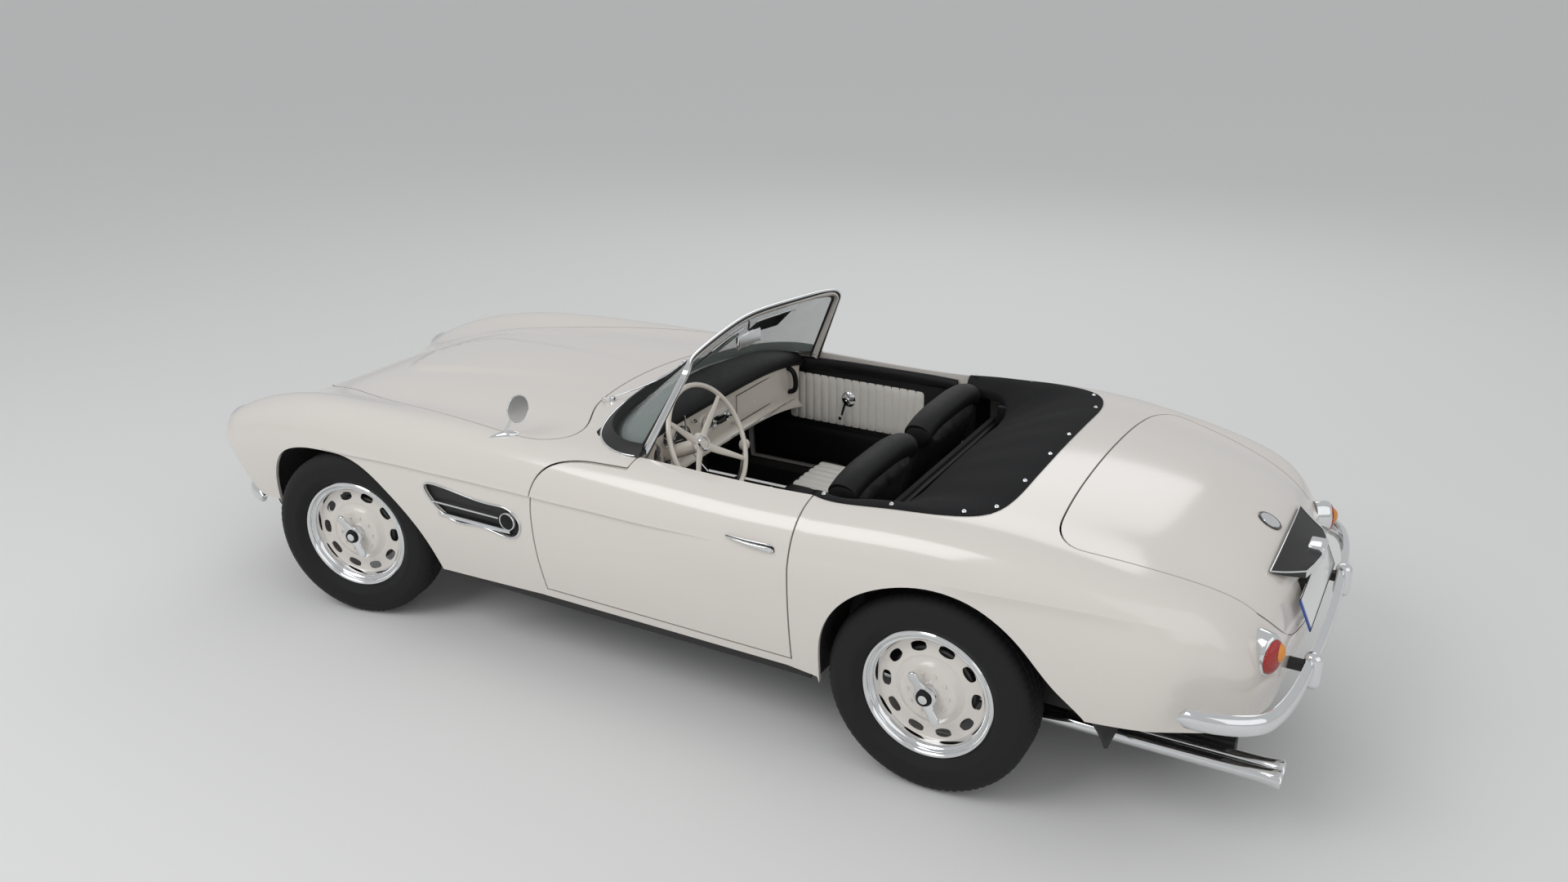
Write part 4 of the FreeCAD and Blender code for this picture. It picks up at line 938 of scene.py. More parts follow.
def panelWork():
    # Cuts the shell into the fixed body, the bonnet, the boot lid and the doors.
    shell = skinShell(skinValues["wall"])
    pieces = [("bonnetPanel", carve(shell.copy(), bonnetPrism(0), "INTERSECT"), "bonnet",
               ["bonnet"]),
              ("bootPanel", carve(shell.copy(), bootPrism(0), "INTERSECT"), "boot_lid",
               ["boot_lid"])]
    tools = [prism(hemLine, -1, 1, "xz"), prism(bothSides(openingHalf), 0.5, 1.2),
             bonnetPrism(gap), bootPrism(gap)]
    for side in (1, -1):
        inner = side * archInner
        tools += [archPrism(frontArch, inner, side), archPrism(rearArch, inner, side),
                  doorPrism(gap, inner, side)]
        tools.append(prism(curved(ventOutline, 60), *sorted((side * ventInner, side)), "xz"))
        mouth = [(side * y, z) for y, z in grilleHole]
        tools.append(prism(curved(mouth, 60), 1.85, 2.4, "yz"))
        x, y, z = lampHole["place"]
        radius, (back, front) = lampHole["radius"], lampHole["reach"]
        tools.append(lathe([(0, back), (radius, back), (radius, front), (0, front)],
                           (x, side * y, z), (1, 0, 0), 72))
        door = carve(solidBody(), doorPrism(0, side * doorInner, side), "INTERSECT")
        name = "left" if side > 0 else "right"
        pieces.append(("doorPanel_" + name, door, "door_" + name, ["door_" + name]))
    for tool in tools:
        shell = carve(shell, tool)
    pieces.append(("bodyShell", shell, "body", [
        "nose_panel", "scuttle_panel", "rear_deck", "tail_panel", "front_wing_left",
        "front_wing_right", "rear_wing_left", "rear_wing_right", "sill_frames"]))
    for name, bm, body, replaced in pieces:
        piece = newPiece(name, bm, "paint", body, 25, replaced)
        glossy(piece)


grilleHole = [(0.06, 0.575), (0.095, 0.47), (0.15, 0.448), (0.4, 0.455), (0.44, 0.5),
              (0.425, 0.56), (0.33, 0.585)]
ventOutline = [(0.908, 0.652), (0.6, 0.656), (0.478, 0.64), (0.452, 0.6), (0.47, 0.556),
               (0.62, 0.552), (0.8, 0.556)]
panelWork()
print("body panels cut")


# Wheels: steered front wheels stand turned at rest

wheelValues = {"frontX": 1.378, "rearX": -1.11, "kingY": 0.648, "frontTrack": 0.7225,
               "rearTrack": 0.7125, "height": 0.345, "steer": 12, "slots": 10}
tyreProfile = [(0.2235, -0.06), (0.232, -0.067), (0.25, -0.082), (0.275, -0.088), (0.3, -0.086),
               (0.318, -0.08), (0.327, -0.075), (0.333, -0.068), (0.341, -0.06), (0.3445, -0.048),
               (0.345, -0.036), (0.345, -0.03), (0.3412, -0.0285), (0.3412, -0.0255),
               (0.345, -0.024), (0.345, -0.003), (0.3412, -0.0015), (0.3412, 0.0015),
               (0.345, 0.003), (0.345, 0.024), (0.3412, 0.0255), (0.3412, 0.0285), (0.345, 0.03),
               (0.345, 0.036), (0.3445, 0.048), (0.341, 0.06), (0.333, 0.068), (0.327, 0.075),
               (0.318, 0.08), (0.311, 0.0835), (0.309, 0.0848), (0.3, 0.086), (0.275, 0.088),
               (0.262, 0.0865), (0.259, 0.0872), (0.25, 0.083), (0.238, 0.074), (0.2235, 0.06)]
discProfile = [(0.0, 0.046), (0.084, 0.046), (0.093, 0.0445), (0.101, 0.039), (0.106, 0.031),
               (0.11, 0.0265), (0.116, 0.0255), (0.122, 0.0275), (0.128, 0.0265), (0.14, 0.0225),
               (0.168, 0.0195), (0.177, 0.0205), (0.182, 0.025), (0.186, 0.034), (0.19, 0.042),
               (0.2, 0.047), (0.205, 0.05), (0.2075, 0.0555), (0.212, 0.0585), (0.2165, 0.059),
               (0.2205, 0.0575), (0.2215, 0.053), (0.2175, 0.051), (0.212, 0.046), (0.205, 0.04),
               (0.204, 0.01), (0.204, -0.044), (0.216, -0.052), (0.2215, -0.0555), (0.214, -0.058),
               (0.198, -0.05), (0.194, -0.04), (0.194, 0.012), (0.16, 0.018), (0.12, 0.024),
               (0.1, 0.04), (0.03, 0.044), (0.0, 0.044)]
hubProfile = [(0.0, 0.0885), (0.012, 0.0885), (0.0205, 0.087), (0.024, 0.0835), (0.026, 0.0785),
              (0.033, 0.077), (0.037, 0.074), (0.0385, 0.069), (0.036, 0.062), (0.035, 0.054),
              (0.037, 0.05), (0.038, 0.044), (0.0, 0.044)]
drumProfile = [(0.0, -0.036), (0.14, -0.036), (0.144, -0.034), (0.144, 0.004), (0.138, 0.009),
               (0.0, 0.01)]


def wheelPlace(end, side):
    # The matrix that carries a wheel drawn about the Z axis to its place, outer face outwards.
    v = wheelValues
    sign = 1 if side == "left" else -1
    x, track = (v["frontX"], v["frontTrack"]) if end == "front" else (v["rearX"], v["rearTrack"])
    place = Matrix.Translation((x, sign * track, v["height"])) @ Matrix.Rotation(
        -sign * math.pi / 2, 4, "X")
    if end == "front":
        pivot = Matrix.Translation((x, sign * v["kingY"], 0))
        place = pivot @ Matrix.Rotation(math.radians(v["steer"]), 4, "Z") @ pivot.inverted() @ place
    return place


def tyreMesh():
    # Blocks of the tread: every third slice of the shoulders and of the ribs is cut back.
    count = 240
    bm = lathe(tyreProfile, steps=count)
    for vert in bm.verts:
        radius = math.hypot(vert.co.x, vert.co.y)
        across = abs(vert.co.z)
        number = round(math.atan2(vert.co.y, vert.co.x) / math.tau * count)
        shift = 1 if vert.co.z > 0 else 0
        if radius > 0.3335 and 0.02 < across < 0.065 and (number + shift) % 3 == 0:
            scale = (radius - 0.0032) / radius
            vert.co.x *= scale
            vert.co.y *= scale
    return bm


def slotTool(count):
    bm = bmesh.new()
    shape = [(x * 0.027, z * 0.0145) for x, z in curved(
        [(-0.6, -1), (0.6, -1), (0.95, -0.6), (1.0, 0), (0.95, 0.6), (0.6, 1), (-0.6, 1),
         (-0.95, 0.6), (-1.0, 0), (-0.95, -0.6)], 28)]
    for i in range(count):
        tool = prism(shape, -0.01, 0.08)
        put(bm, tool, Matrix.Rotation(math.tau * (i + 0.5) / count, 4, "Z")
            @ Matrix.Translation((0, 0.153, 0)))
    return bm


def wheelMesh():
    # Returns the painted disc with its nuts, the bright pieces, the black ring and the drum.
    disc = carve(lathe(discProfile, steps=120), slotTool(wheelValues["slots"]))
    bright = lathe([(0.18, 0.022), (0.1862, 0.0325), (0.19, 0.041), (0.2, 0.0465), (0.2075, 0.055),
                    (0.212, 0.0592), (0.217, 0.0598), (0.2212, 0.058), (0.2222, 0.053),
                    (0.2235, 0.056), (0.2225, 0.061), (0.218, 0.064), (0.211, 0.0632),
                    (0.2062, 0.059), (0.204, 0.053), (0.202, 0.0515), (0.199, 0.053),
                    (0.195, 0.0535), (0.1905, 0.05), (0.1862, 0.042), (0.1822, 0.03)], steps=120)
    bright = joined(bright, lathe(hubProfile, steps=64))
    for i in range(10):
        nut = lathe([(0, 0.04), (0.005, 0.04), (0.005, 0.0505), (0.0036, 0.0525),
                     (0, 0.053)], steps=12)
        put(disc, nut, Matrix.Rotation(math.tau * i / 10, 4, "Z")
            @ Matrix.Translation((0.07, 0, 0)))
    for turn in (0, math.pi):
        ear = prism(curved([(-0.018, 0.02), (-0.014, 0.05), (-0.017, 0.078), (-0.01, 0.094),
                            (0.006, 0.096), (0.016, 0.086), (0.015, 0.06), (0.018, 0.022)],
                           40), 0.066, 0.08)
        bevel(ear, 0.005, 3, 40)
        bmesh.ops.rotate(ear, cent=(0, 0.03, 0.07), matrix=Matrix.Rotation(0.16, 3, "X"),
                         verts=ear.verts)
        put(bright, ear, Matrix.Rotation(turn + 0.5, 4, "Z"))
    cap = lathe([(0.015, 0.0885), (0.0262, 0.079), (0.0275, 0.0805), (0.024, 0.088),
                 (0.0215, 0.0905), (0.015, 0.0915)], steps=40)
    plate = lathe([(0, 0.088), (0.0152, 0.088), (0.015, 0.0912), (0.008, 0.0924),
                   (0, 0.0928)], steps=32)
    drum = lathe(drumProfile, steps=64)
    return disc, joined(bright, plate), cap, drum


def makeTyreFinish():
    tyre = Finish("tyreRubber")
    cloud = tyre.noise(30, 4)
    dust = tyre.noise(240, 2)
    return tyre.set(color=tyre.mix(cloud * 0.8, finishValues["rubber"], (0.018, 0.018, 0.018)),
                    rough=0.6 + cloud * 0.2, shine=0.25,
                    normal=tyre.bump(dust, 0.25, 0.0006)).material


finish["tyre"] = makeTyreFinish()


def makeWheels():
    tyre = tyreMesh()
    parts = wheelMesh()
    for end in ("front", "rear"):
        for side in ("left", "right"):
            place = wheelPlace(end, side)
            name = end + "_" + side
            rubber = bmesh.new()
            mergeInto(rubber, tyre, place)
            newPiece("tyre_" + name, rubber, "tyre", "wheel_" + name, 40, ["tyre_" + name])
            for label, part, look, slot in zip(
                    ("disc", "brightwork", "cap", "drum"), parts,
                    ("wheelPaint", "chrome", "blackHide", "iron"),
                    ("paint", "chrome", "black_metal", "iron")):
                bm = bmesh.new()
                mergeInto(bm, part, place)
                newPiece("wheel_%s_%s" % (label, name), bm, look, "wheel_" + name, 32,
                         ["wheel_" + name] if label == "disc" else ())


makeWheels()
print("wheels made")


# Windscreen: a curved sheet between its foot line and its top line

screenValues = {"foot": [(0.02, 0.65), (0.12, 0.644), (0.21, 0.58), (0.293, 0.4), (0.335, 0)],
                "top": [(-0.135, 0.578), (-0.113, 0.542), (-0.083, 0.438), (-0.051, 0.228),
                        (-0.035, 0)],
                "footZ": (0.85, 0.91), "topZ": (1.212, 1.246), "side": 0.022, "high": 0.92}


def screenLine(points, heights):
    half = [(x, y, heights[0] + (heights[1] - heights[0]) * i / 4)
            for i, (x, y) in enumerate(points)]
    both = np.array(half + [(x, -y, z) for x, y, z in reversed(half[:-1])])
    knots = np.concatenate([[0], np.cumsum(np.linalg.norm(np.diff(both, axis=0), axis=1))])
    curve = splineThrough(knots / knots[-1], both)
    return lambda share: Vector(curve(min(1, max(0, share)))[0])


footLine = screenLine(screenValues["foot"], screenValues["footZ"])
topLine = screenLine(screenValues["top"], screenValues["topZ"])


def screenPlace(along, up, depth):
    # Along runs from the left pillar to the right one; depth is behind the outer face.
    low, high = footLine(along), topLine(along)
    tangent = footLine(along + 0.01) - footLine(along - 0.01)
    normal = tangent.cross(high - low).normalized()
    if normal.dot(low - Vector((-0.3, 0, low.z))) < 0:
        normal = -normal
    return low + (high - low) * up - normal * depth


def screenSheet(along, up, depths, steps=48, rise=10):
    # A closed piece of the curved sheet.
    def place(u, v):
        share = along[0] + (along[1] - along[0]) * u
        loop = 2 * rise + 2
        k = round(v * loop) % loop
        if k <= rise:
            return screenPlace(share, up[0] + (up[1] - up[0]) * k / rise, depths[0])
        return screenPlace(share, up[1] - (up[1] - up[0]) * (k - rise - 1) / rise, depths[1])
    return laid(place, steps, 2 * rise + 2, True)


def screenRim(low, high, side, depth, count=40):
    # A path up the left pillar, along the top and down the right pillar, with its normals.
    path, rises = [], []
    for i in range(count):
        path.append(screenPlace(side, low + (high - low) * i / count, depth))
    for i in range(2 * count):
        path.append(screenPlace(side + (1 - 2 * side) * i / (2 * count), high, depth))
    for i in range(count + 1):
        path.append(screenPlace(1 - side, high - (high - low) * i / count, depth))
    corner = []
    for i in range(len(path)):
        near = path[max(0, i - 3):i + 4]
        corner.append(sum(near, Vector()) / len(near))
    for i in range(len(corner)):
        middle = (i - count) / (2 * count)
        share = min(1 - side, max(side, side + (1 - 2 * side) * middle))
        outer, inner = screenPlace(share, 0.5, 0), screenPlace(share, 0.5, 0.01)
        rises.append((inner - outer).normalized())
    return corner, rises


def makeWindscreen():
    v = screenValues
    glass = screenSheet((v["side"] * 0.7, 1 - v["side"] * 0.7), (0.1, v["high"] + 0.03),
                        (0.0055, 0.0105), 64, 16)
    newPiece("screenGlass", glass, "glass", "body", 40, ["windscreen_glass"])
    def strip(rim, bar):
        path, rises = screenRim(*rim)
        return sweep(path, roundBar(*bar), lambda u: rises[round(u * (len(path) - 1))])
    rim = strip((0.04, 0.975, 0.009, 0.0015), (0.022, 0.01, 0.004))
    newPiece("screenTrim", rim, "chrome", "body", 50, ["windscreen_frame"])
    inner = strip((0.06, 0.955, 0.014, 0.0115), (0.026, 0.009, 0.004))
    newPiece("screenInner", inner, "paint", "body", 50)
    seal = joined(strip((0.06, 0.93, 0.027, 0.008), (0.009, 0.011, 0.003)),
                  strip((0.06, 0.975, 0.006, 0.009), (0.014, 0.008, 0.003)))
    newPiece("screenSeal", seal, "seal", "body", 50)
    # The foot rests on the scuttle: a wide seal, then a bright strip round it.
    seat = []
    for i in range(81):
        spot = footLine(i / 80)
        ground = skinTop(spot.x, spot.y) if abs(spot.y) < 0.7 else spot
        seat.append(ground if ground else spot)
    base = sweep(seat, [(-0.03, -0.004), (-0.022, 0.008), (-0.006, 0.016), (0.006, 0.034),
                        (0.012, 0.034), (0.018, 0.012), (0.026, -0.004)])
    newPiece("screenFoot", base, "seal", "body", 60)
    around = []
    for spot in seat:
        away = Vector((spot.x + 0.35, spot.y, 0)).normalized() * 0.03
        ground = skinTop(spot.x + away.x, spot.y + away.y)
        around.append((ground if ground else spot) + Vector((0, 0, 0.002)))
    line = sweep(around, roundBar(0.008, 0.008, 0.003))
    newPiece("screenStrip", line, "chrome", "body", 60)


makeWindscreen()
print("windscreen made")


# Cabin

cabin = {"dashHalf": 0.625, "wheelPlace": (-0.06, 0.355, 0.858), "wheelRadius": 0.212,
         "rake": 25}
dashLine = [(0.3, 0.925), (0.2, 0.93), (0.15, 0.925), (0.121, 0.912), (0.108, 0.893),
            (0.112, 0.876), (0.128, 0.868)]


def dashPlace(line, u, v, half):
    # The dash runs across the car and curves forward at both ends.
    y = (u * 2 - 1) * half
    x, z = line[round(v * (len(line) - 1))]
    bend = (abs(y) / half) ** 4
    return Vector((x - 0.03 * bend, y, z - 0.03 * bend))


def dial(centre, radius, facing, ticks, needle):
    # A round instrument: bezel, black face, ticks and a needle. Returns bright, dark, pale.
    bezel = lathe([(radius * 0.86, 0), (radius * 0.9, 0.008), (radius * 0.97, 0.009),
                   (radius, 0.005), (radius, -0.002), (radius * 0.86, -0.002)],
                  centre, facing, 48)
    face = lathe([(0, 0.001), (radius * 0.88, 0.001), (radius * 0.88, -0.003), (0, -0.003)],
                 centre, facing, 48)
    turn = Matrix.Translation(centre) @ Vector(facing).to_track_quat("Z", "Y").to_matrix(
        ).to_4x4()
    marks = bmesh.new()
    for i in range(ticks):
        long = i % 4 == 0
        mark = block((radius * (0.64 if long else 0.72), -0.0006, 0.001),
                     (radius * 0.82, 0.0006, 0.0022))
        put(marks, mark, turn @ Matrix.Rotation(math.radians(-135 + 270 * i / (ticks - 1)), 4, "Z"))
    hand = block((-radius * 0.15, -0.0009, 0.002), (radius * 0.66, 0.0009, 0.0032))
    put(marks, hand, turn @ Matrix.Rotation(math.radians(needle), 4, "Z"))
    return bezel, face, marks


def makeDash():
    v = cabin
    ring = curved(dashLine, 24, False) + [(0.3, 0.868)]
    pad = laid(lambda u, w: dashPlace(ring + [ring[0]], u, w, v["dashHalf"]), 60, len(ring), True)
    newPiece("dashPad", pad, "blackHide", "body", 60, ["dashboard"])
    faceLine = [(0.128, 0.868), (0.131, 0.84), (0.133, 0.78), (0.132, 0.725), (0.126, 0.7),
                (0.112, 0.688), (0.116, 0.68), (0.14, 0.684), (0.18, 0.7)]
    ring = curved(faceLine, 30, False) + [(0.2, 0.868)]
    face = laid(lambda u, w: dashPlace(ring + [ring[0]], u, w, v["dashHalf"]), 60, len(ring),
                True)
    newPiece("dashFace", face, "plastic", "body", 40)
    bright, dark, pale = stores(3)
    for y, z, radius, ticks, needle in ((0.455, 0.795, 0.058, 33, 200),
                                        (0.255, 0.795, 0.058, 33, 170),
                                        (0.355, 0.832, 0.028, 13, 140),
                                        (0.355, 0.755, 0.028, 13, 100),
                                        (0.07, 0.8, 0.03, 13, 60)):
        parts = dial((0.127, y, z), radius, (-1, 0, 0), ticks, needle)
        for store, part in zip((bright, dark, pale), parts):
            put(store, part)
    radio = block((0.121, -0.085, 0.765), (0.136, 0.035, 0.815), 0.004)
    keys = block((0.118, -0.06, 0.772), (0.124, 0.01, 0.785), 0.002)
    put(bright, radio)
    put(dark, keys)
    for y, z in ((-0.078, 0.79), (0.028, 0.79), (0.155, 0.745), (0.185, 0.745), (0.53, 0.745),
                 (0.175, 0.845), (0.535, 0.845), (-0.12, 0.745)):
        knob = lathe([(0, -0.02), (0.007, -0.019), (0.009, -0.014), (0.007, -0.006), (0.004, 0.0),
                      (0, 0)], (0.127, y, z), (1, 0, 0), 20)
        put(bright, knob)
    put(bright, rod([(0.11, y, 0.692) for y in (-0.6, -0.4, -0.2, -0.08)], 0.004))
    newPiece("dashBright", bright, "chrome", "body", 40)
    newPiece("dashDials", dark, "blackMetal", "body", 40)
    newPiece("dashMarks", pale, "plateWhite", "body", 40)
    grab = rod([(0.126, -0.545, 0.85), (0.096, -0.545, 0.846), (0.08, -0.548, 0.83),
                (0.078, -0.556, 0.79), (0.08, -0.56, 0.752), (0.096, -0.56, 0.738),
                (0.128, -0.56, 0.734)], 0.011, 16)
    newPiece("grabHandle", grab, "blackHide", "body", 60)
    lid = sweep([(0.126, -0.15, 0.842), (0.126, -0.5, 0.842), (0.127, -0.5, 0.725),
                 (0.127, -0.15, 0.725)], roundBar(0.003, 0.003, 0.001), (1, 0, 0), True)
    newPiece("gloveLid", lid, "seal", "body", 60)


makeDash()


def makeSteering():
    v = cabin
    rake = math.radians(v["rake"])
    axis = Vector((-math.cos(rake), 0, math.sin(rake)))
    hub = Vector(v["wheelPlace"])
    turn = Matrix.Translation(hub) @ axis.to_track_quat("Z", "Y").to_matrix().to_4x4()
    rim = bmesh.new()
    path = [(v["wheelRadius"] * math.cos(a), v["wheelRadius"] * math.sin(a), 0)
            for a in np.linspace(0, math.tau, 96, endpoint=False)]
    ring = sweep(path, oval(0.0095, 0.0095, 14), (0, 0, 1), True)
    put(rim, ring, turn)
    for degrees in (38, 142, 218, 322):
        path = through([(0.03, 0, -0.03), (0.07, 0, -0.026), (0.13, 0, -0.014), (0.18, 0, -0.004),
                        (0.209, 0, 0.0)], 20)
        count = len(path)
        spoke = laid(lambda u, w: path[round(u * (count - 1))] + Vector((
            0, (0.017 - 0.008 * u) * math.cos(math.tau * w),
            0.0045 * math.sin(math.tau * w))), count - 1, 16, True)
        put(rim, spoke, turn @ Matrix.Rotation(math.radians(degrees), 4, "Z"))
    boss = lathe([(0, -0.02), (0.02, -0.021), (0.036, -0.027), (0.042, -0.036), (0.038, -0.046),
                  (0, -0.046)], steps=40)
    put(rim, boss, turn)
    newPiece("steeringRim", rim, "plastic", "steering_wheel", 50,
             ["steering_wheel"])
    bright = bmesh.new()
    horn = lathe([(0.021, -0.022), (0.023, -0.015), (0.027, -0.015), (0.03, -0.022),
                  (0.03, -0.028), (0.021, -0.028)], steps=40)
    put(bright, horn, turn)
    newPiece("hornRing", bright, "chrome", "steering_wheel", 50)
    tube = lathe([(0, -0.047), (0.022, -0.047), (0.026, -0.055), (0.027, -0.16), (0.023, -0.185),
                  (0.022, -0.6), (0, -0.6)], steps=32)
    column = bmesh.new()
    put(column, tube, turn)
    newPiece("steeringColumn", column, "plastic", "body", 50, ["steering_column"])
    stalks = bmesh.new()
    for side, reach in ((1, 0.115), (-1, 0.105)):
        stalk = rod([(0, 0, -0.09), (0, side * 0.03, -0.088), (0, side * 0.07, -0.07),
                     (0, side * reach, -0.055)], 0.0032)
        put(stalks, stalk, turn)
    newPiece("columnStalks", stalks, "chrome", "body", 50)


makeSteering()


def makeLevers():
    lever = lathe([(0, 0), (0.02, 0), (0.012, 0.012), (0.006, 0.02), (0.0052, 0.17),
                   (0, 0.172)], (0.04, 0, 0.54), (-0.22, 0, 1), 20)
    newPiece("gearRod", lever, "chrome", "body", 50, ["gear_lever"])

    def bellows(u, w):
        shrink, fold = u ** 0.7, 0.004 * math.sin(u * 26)
        return Vector((0.04 + (0.075 - 0.058 * shrink + fold) * math.cos(math.tau * w)
                       - 0.008 * u,
                       (0.07 - 0.053 * shrink + fold) * math.sin(math.tau * w),
                       0.501 + 0.062 * u))
    boot = laid(bellows, 30, 40, True)
    newPiece("gearBoot", boot, "blackHide", "body", 60)
    knob = lathe([(0, -0.024), (0.01, -0.023), (0.0185, -0.015), (0.022, -0.002), (0.0205, 0.01),
                  (0.013, 0.0195), (0, 0.022)],
                 (0.04 - 0.22 * 0.17, 0, 0.54 + 0.17), (-0.22, 0, 1), 36)
    brake = lathe([(0, -0.018), (0.01, -0.016), (0.016, -0.004), (0.015, 0.008), (0.008, 0.015),
                   (0, 0.016)], (-0.155, 0.075, 0.575), (-0.5, 0, 1), 32)
    newPiece("leverKnobs", joined(knob, brake), "plastic", "body", 60)
    brakeRod = rod([(-0.04, 0.075, 0.5), (-0.09, 0.075, 0.52), (-0.135, 0.075, 0.548),
                    (-0.152, 0.075, 0.57)], 0.006)
    newPiece("brakeRod", brakeRod, "chrome", "body", 60)


makeLevers()
print("dash and steering made")


# Seats: padded cushions and backs, swollen by a short cloth simulation

seatValues = {"inner": 0.15, "outer": 0.56, "front": -0.01, "rear": -0.525, "foot": 0.272,
              "top": 0.44, "pleats": 6, "backFoot": (-0.56, 0.44), "backTop": (-0.715, 0.885),
              "backWall": 0.1}


def pad(centre, size, rake):
    # A crowned closed pad: a rounded box whose faces swell and corners pull in.
    bm = bmesh.new()
    bmesh.ops.create_cube(bm, size=2)
    bmesh.ops.subdivide_edges(bm, edges=bm.edges, cuts=15, use_grid_fill=True)
    for vert in bm.verts:
        p = vert.co.copy()
        q = Vector((p.x * abs(1 - p.y ** 2 / 2 * 0.16 - p.z ** 2 / 2 * 0.5) ** 0.5,
                    p.y * abs(1 - p.x ** 2 / 2 * 0.16 - p.z ** 2 / 2 * 0.5) ** 0.5,
                    p.z * abs(1 - p.x ** 2 / 2 * 0.2 - p.y ** 2 / 2 * 0.2) ** 0.5))
        vert.co = Vector((q.x * size[0] / 2, q.y * size[1] / 2, q.z * size[2] / 2))
    turn = Matrix.Translation(centre) @ Matrix.Rotation(math.radians(rake), 4, "Y")
    bmesh.ops.transform(bm, matrix=turn, verts=bm.verts)
    bmesh.ops.recalc_face_normals(bm, faces=bm.faces)
    return bm, turn


def baked(piece):
    # Applies a piece's modifiers to its mesh.
    mesh = bpy.data.meshes.new_from_object(piece.evaluated_get(
        bpy.context.evaluated_depsgraph_get()))
    piece.modifiers.clear()
    piece.data = mesh
    return mesh


def places(mesh):
    found = np.empty(len(mesh.vertices) * 3)
    mesh.vertices.foreach_get("co", found)
    return found.reshape(-1, 3)


swellValues = {"voxel": 0.008, "cap": 0.012, "pressure": 4, "frames": 20, "quality": 4,
               "mass": 0.3, "stretch": 12, "bend": 0.5}


def swell(piece):
    # Remeshes the pad, lets it swell as cloth for some frames, and keeps the result in the mesh.
    v = swellValues
    made = piece.modifiers.new("remesh", "REMESH")
    made.mode, made.voxel_size = "VOXEL", v["voxel"]
    rest = places(baked(piece))
    cloth = piece.modifiers.new("cloth", "CLOTH").settings
    cloth.quality, cloth.mass = v["quality"], v["mass"]
    cloth.use_pressure, cloth.uniform_pressure_force = True, v["pressure"]
    cloth.effector_weights.gravity = 0
    cloth.tension_stiffness = cloth.compression_stiffness = v["stretch"]
    cloth.bending_stiffness = v["bend"]
    for number in range(1, v["frames"] + 1):
        scene.frame_set(number)
    mesh = baked(piece)
    scene.frame_set(1)
    shift = places(mesh) - rest
    far = np.linalg.norm(shift, axis=1)[:, None] + 1e-9
    mesh.vertices.foreach_set("co", (rest + shift * np.minimum(1, v["cap"] / far)).ravel())
    mesh.update()


def makeSeatFinish(name, axisLow, axisHigh, across, turn):
    # White pleated centre with a black border, told apart by the place on the pad.
    hide = Finish(name)
    local = hide.node("ShaderNodeMapping", {"vector_type": "TEXTURE"}, {
        "Vector": hide.place, "Location": tuple(turn.to_translation()),
        "Rotation": tuple(turn.to_euler())}).outputs[0]
    split = hide.node("ShaderNodeSeparateXYZ", {}, {0: local})
    x, y, z = (Term(hide, o) for o in split.outputs)
    inside = (y.size() < across) * (x > axisLow) * (x < axisHigh) * (z > 0.02)
    cells = hide.grain(420)
    folds = hide.noise(34, 4)
    white = hide.mix(folds * 0.7, finishValues["whiteHide"], (0.76, 0.73, 0.67))
    black = hide.mix(folds * 0.7, finishValues["black"], (0.022, 0.021, 0.02))
    return hide.set(color=hide.mix(inside, black, white), rough=0.42 + folds * 0.14, shine=0.42,
                    normal=hide.bump(cells + folds * 0.6, 0.3, 0.0012)).material


def makePad(name, centre, size, rake, low, high, across, replaced):
    bm, turn = pad(centre, size, rake)
    made = newPiece(name, bm, [], None, 180)
    swell(made)
    inverse = turn.inverted()
    half = size[2] / 2
    pitch = across * 2 / seatValues["pleats"]
    sub = made.modifiers.new("smooth", "SUBSURF")
    sub.levels = sub.render_levels = 1
    mesh = baked(made)
    down = turn.to_3x3() @ Vector((0, 0, -1))
    for vert in mesh.vertices:
        spot = inverse @ vert.co
        if spot.z < half * 0.35:
            continue
        inside = min(1, max(0, (across + 0.006 - abs(spot.y)) / 0.006)) * min(
            1, max(0, (spot.x - low + 0.02) / 0.02)) * min(1, max(0, (high + 0.02 - spot.x) / 0.02))
        channel = abs(math.sin(math.pi * spot.y / pitch))
        depth = 0.008 * (1 - min(1, channel * 1.9)) ** 1.5
        crown = 0.004 * channel
        vert.co += down * (depth - crown) * inside
    mesh.materials.append(makeSeatFinish(name + "Hide", low, high, across, turn))
    mesh.shade_smooth()
    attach(made, "body")
    if replaced:
        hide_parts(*replaced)
    return made


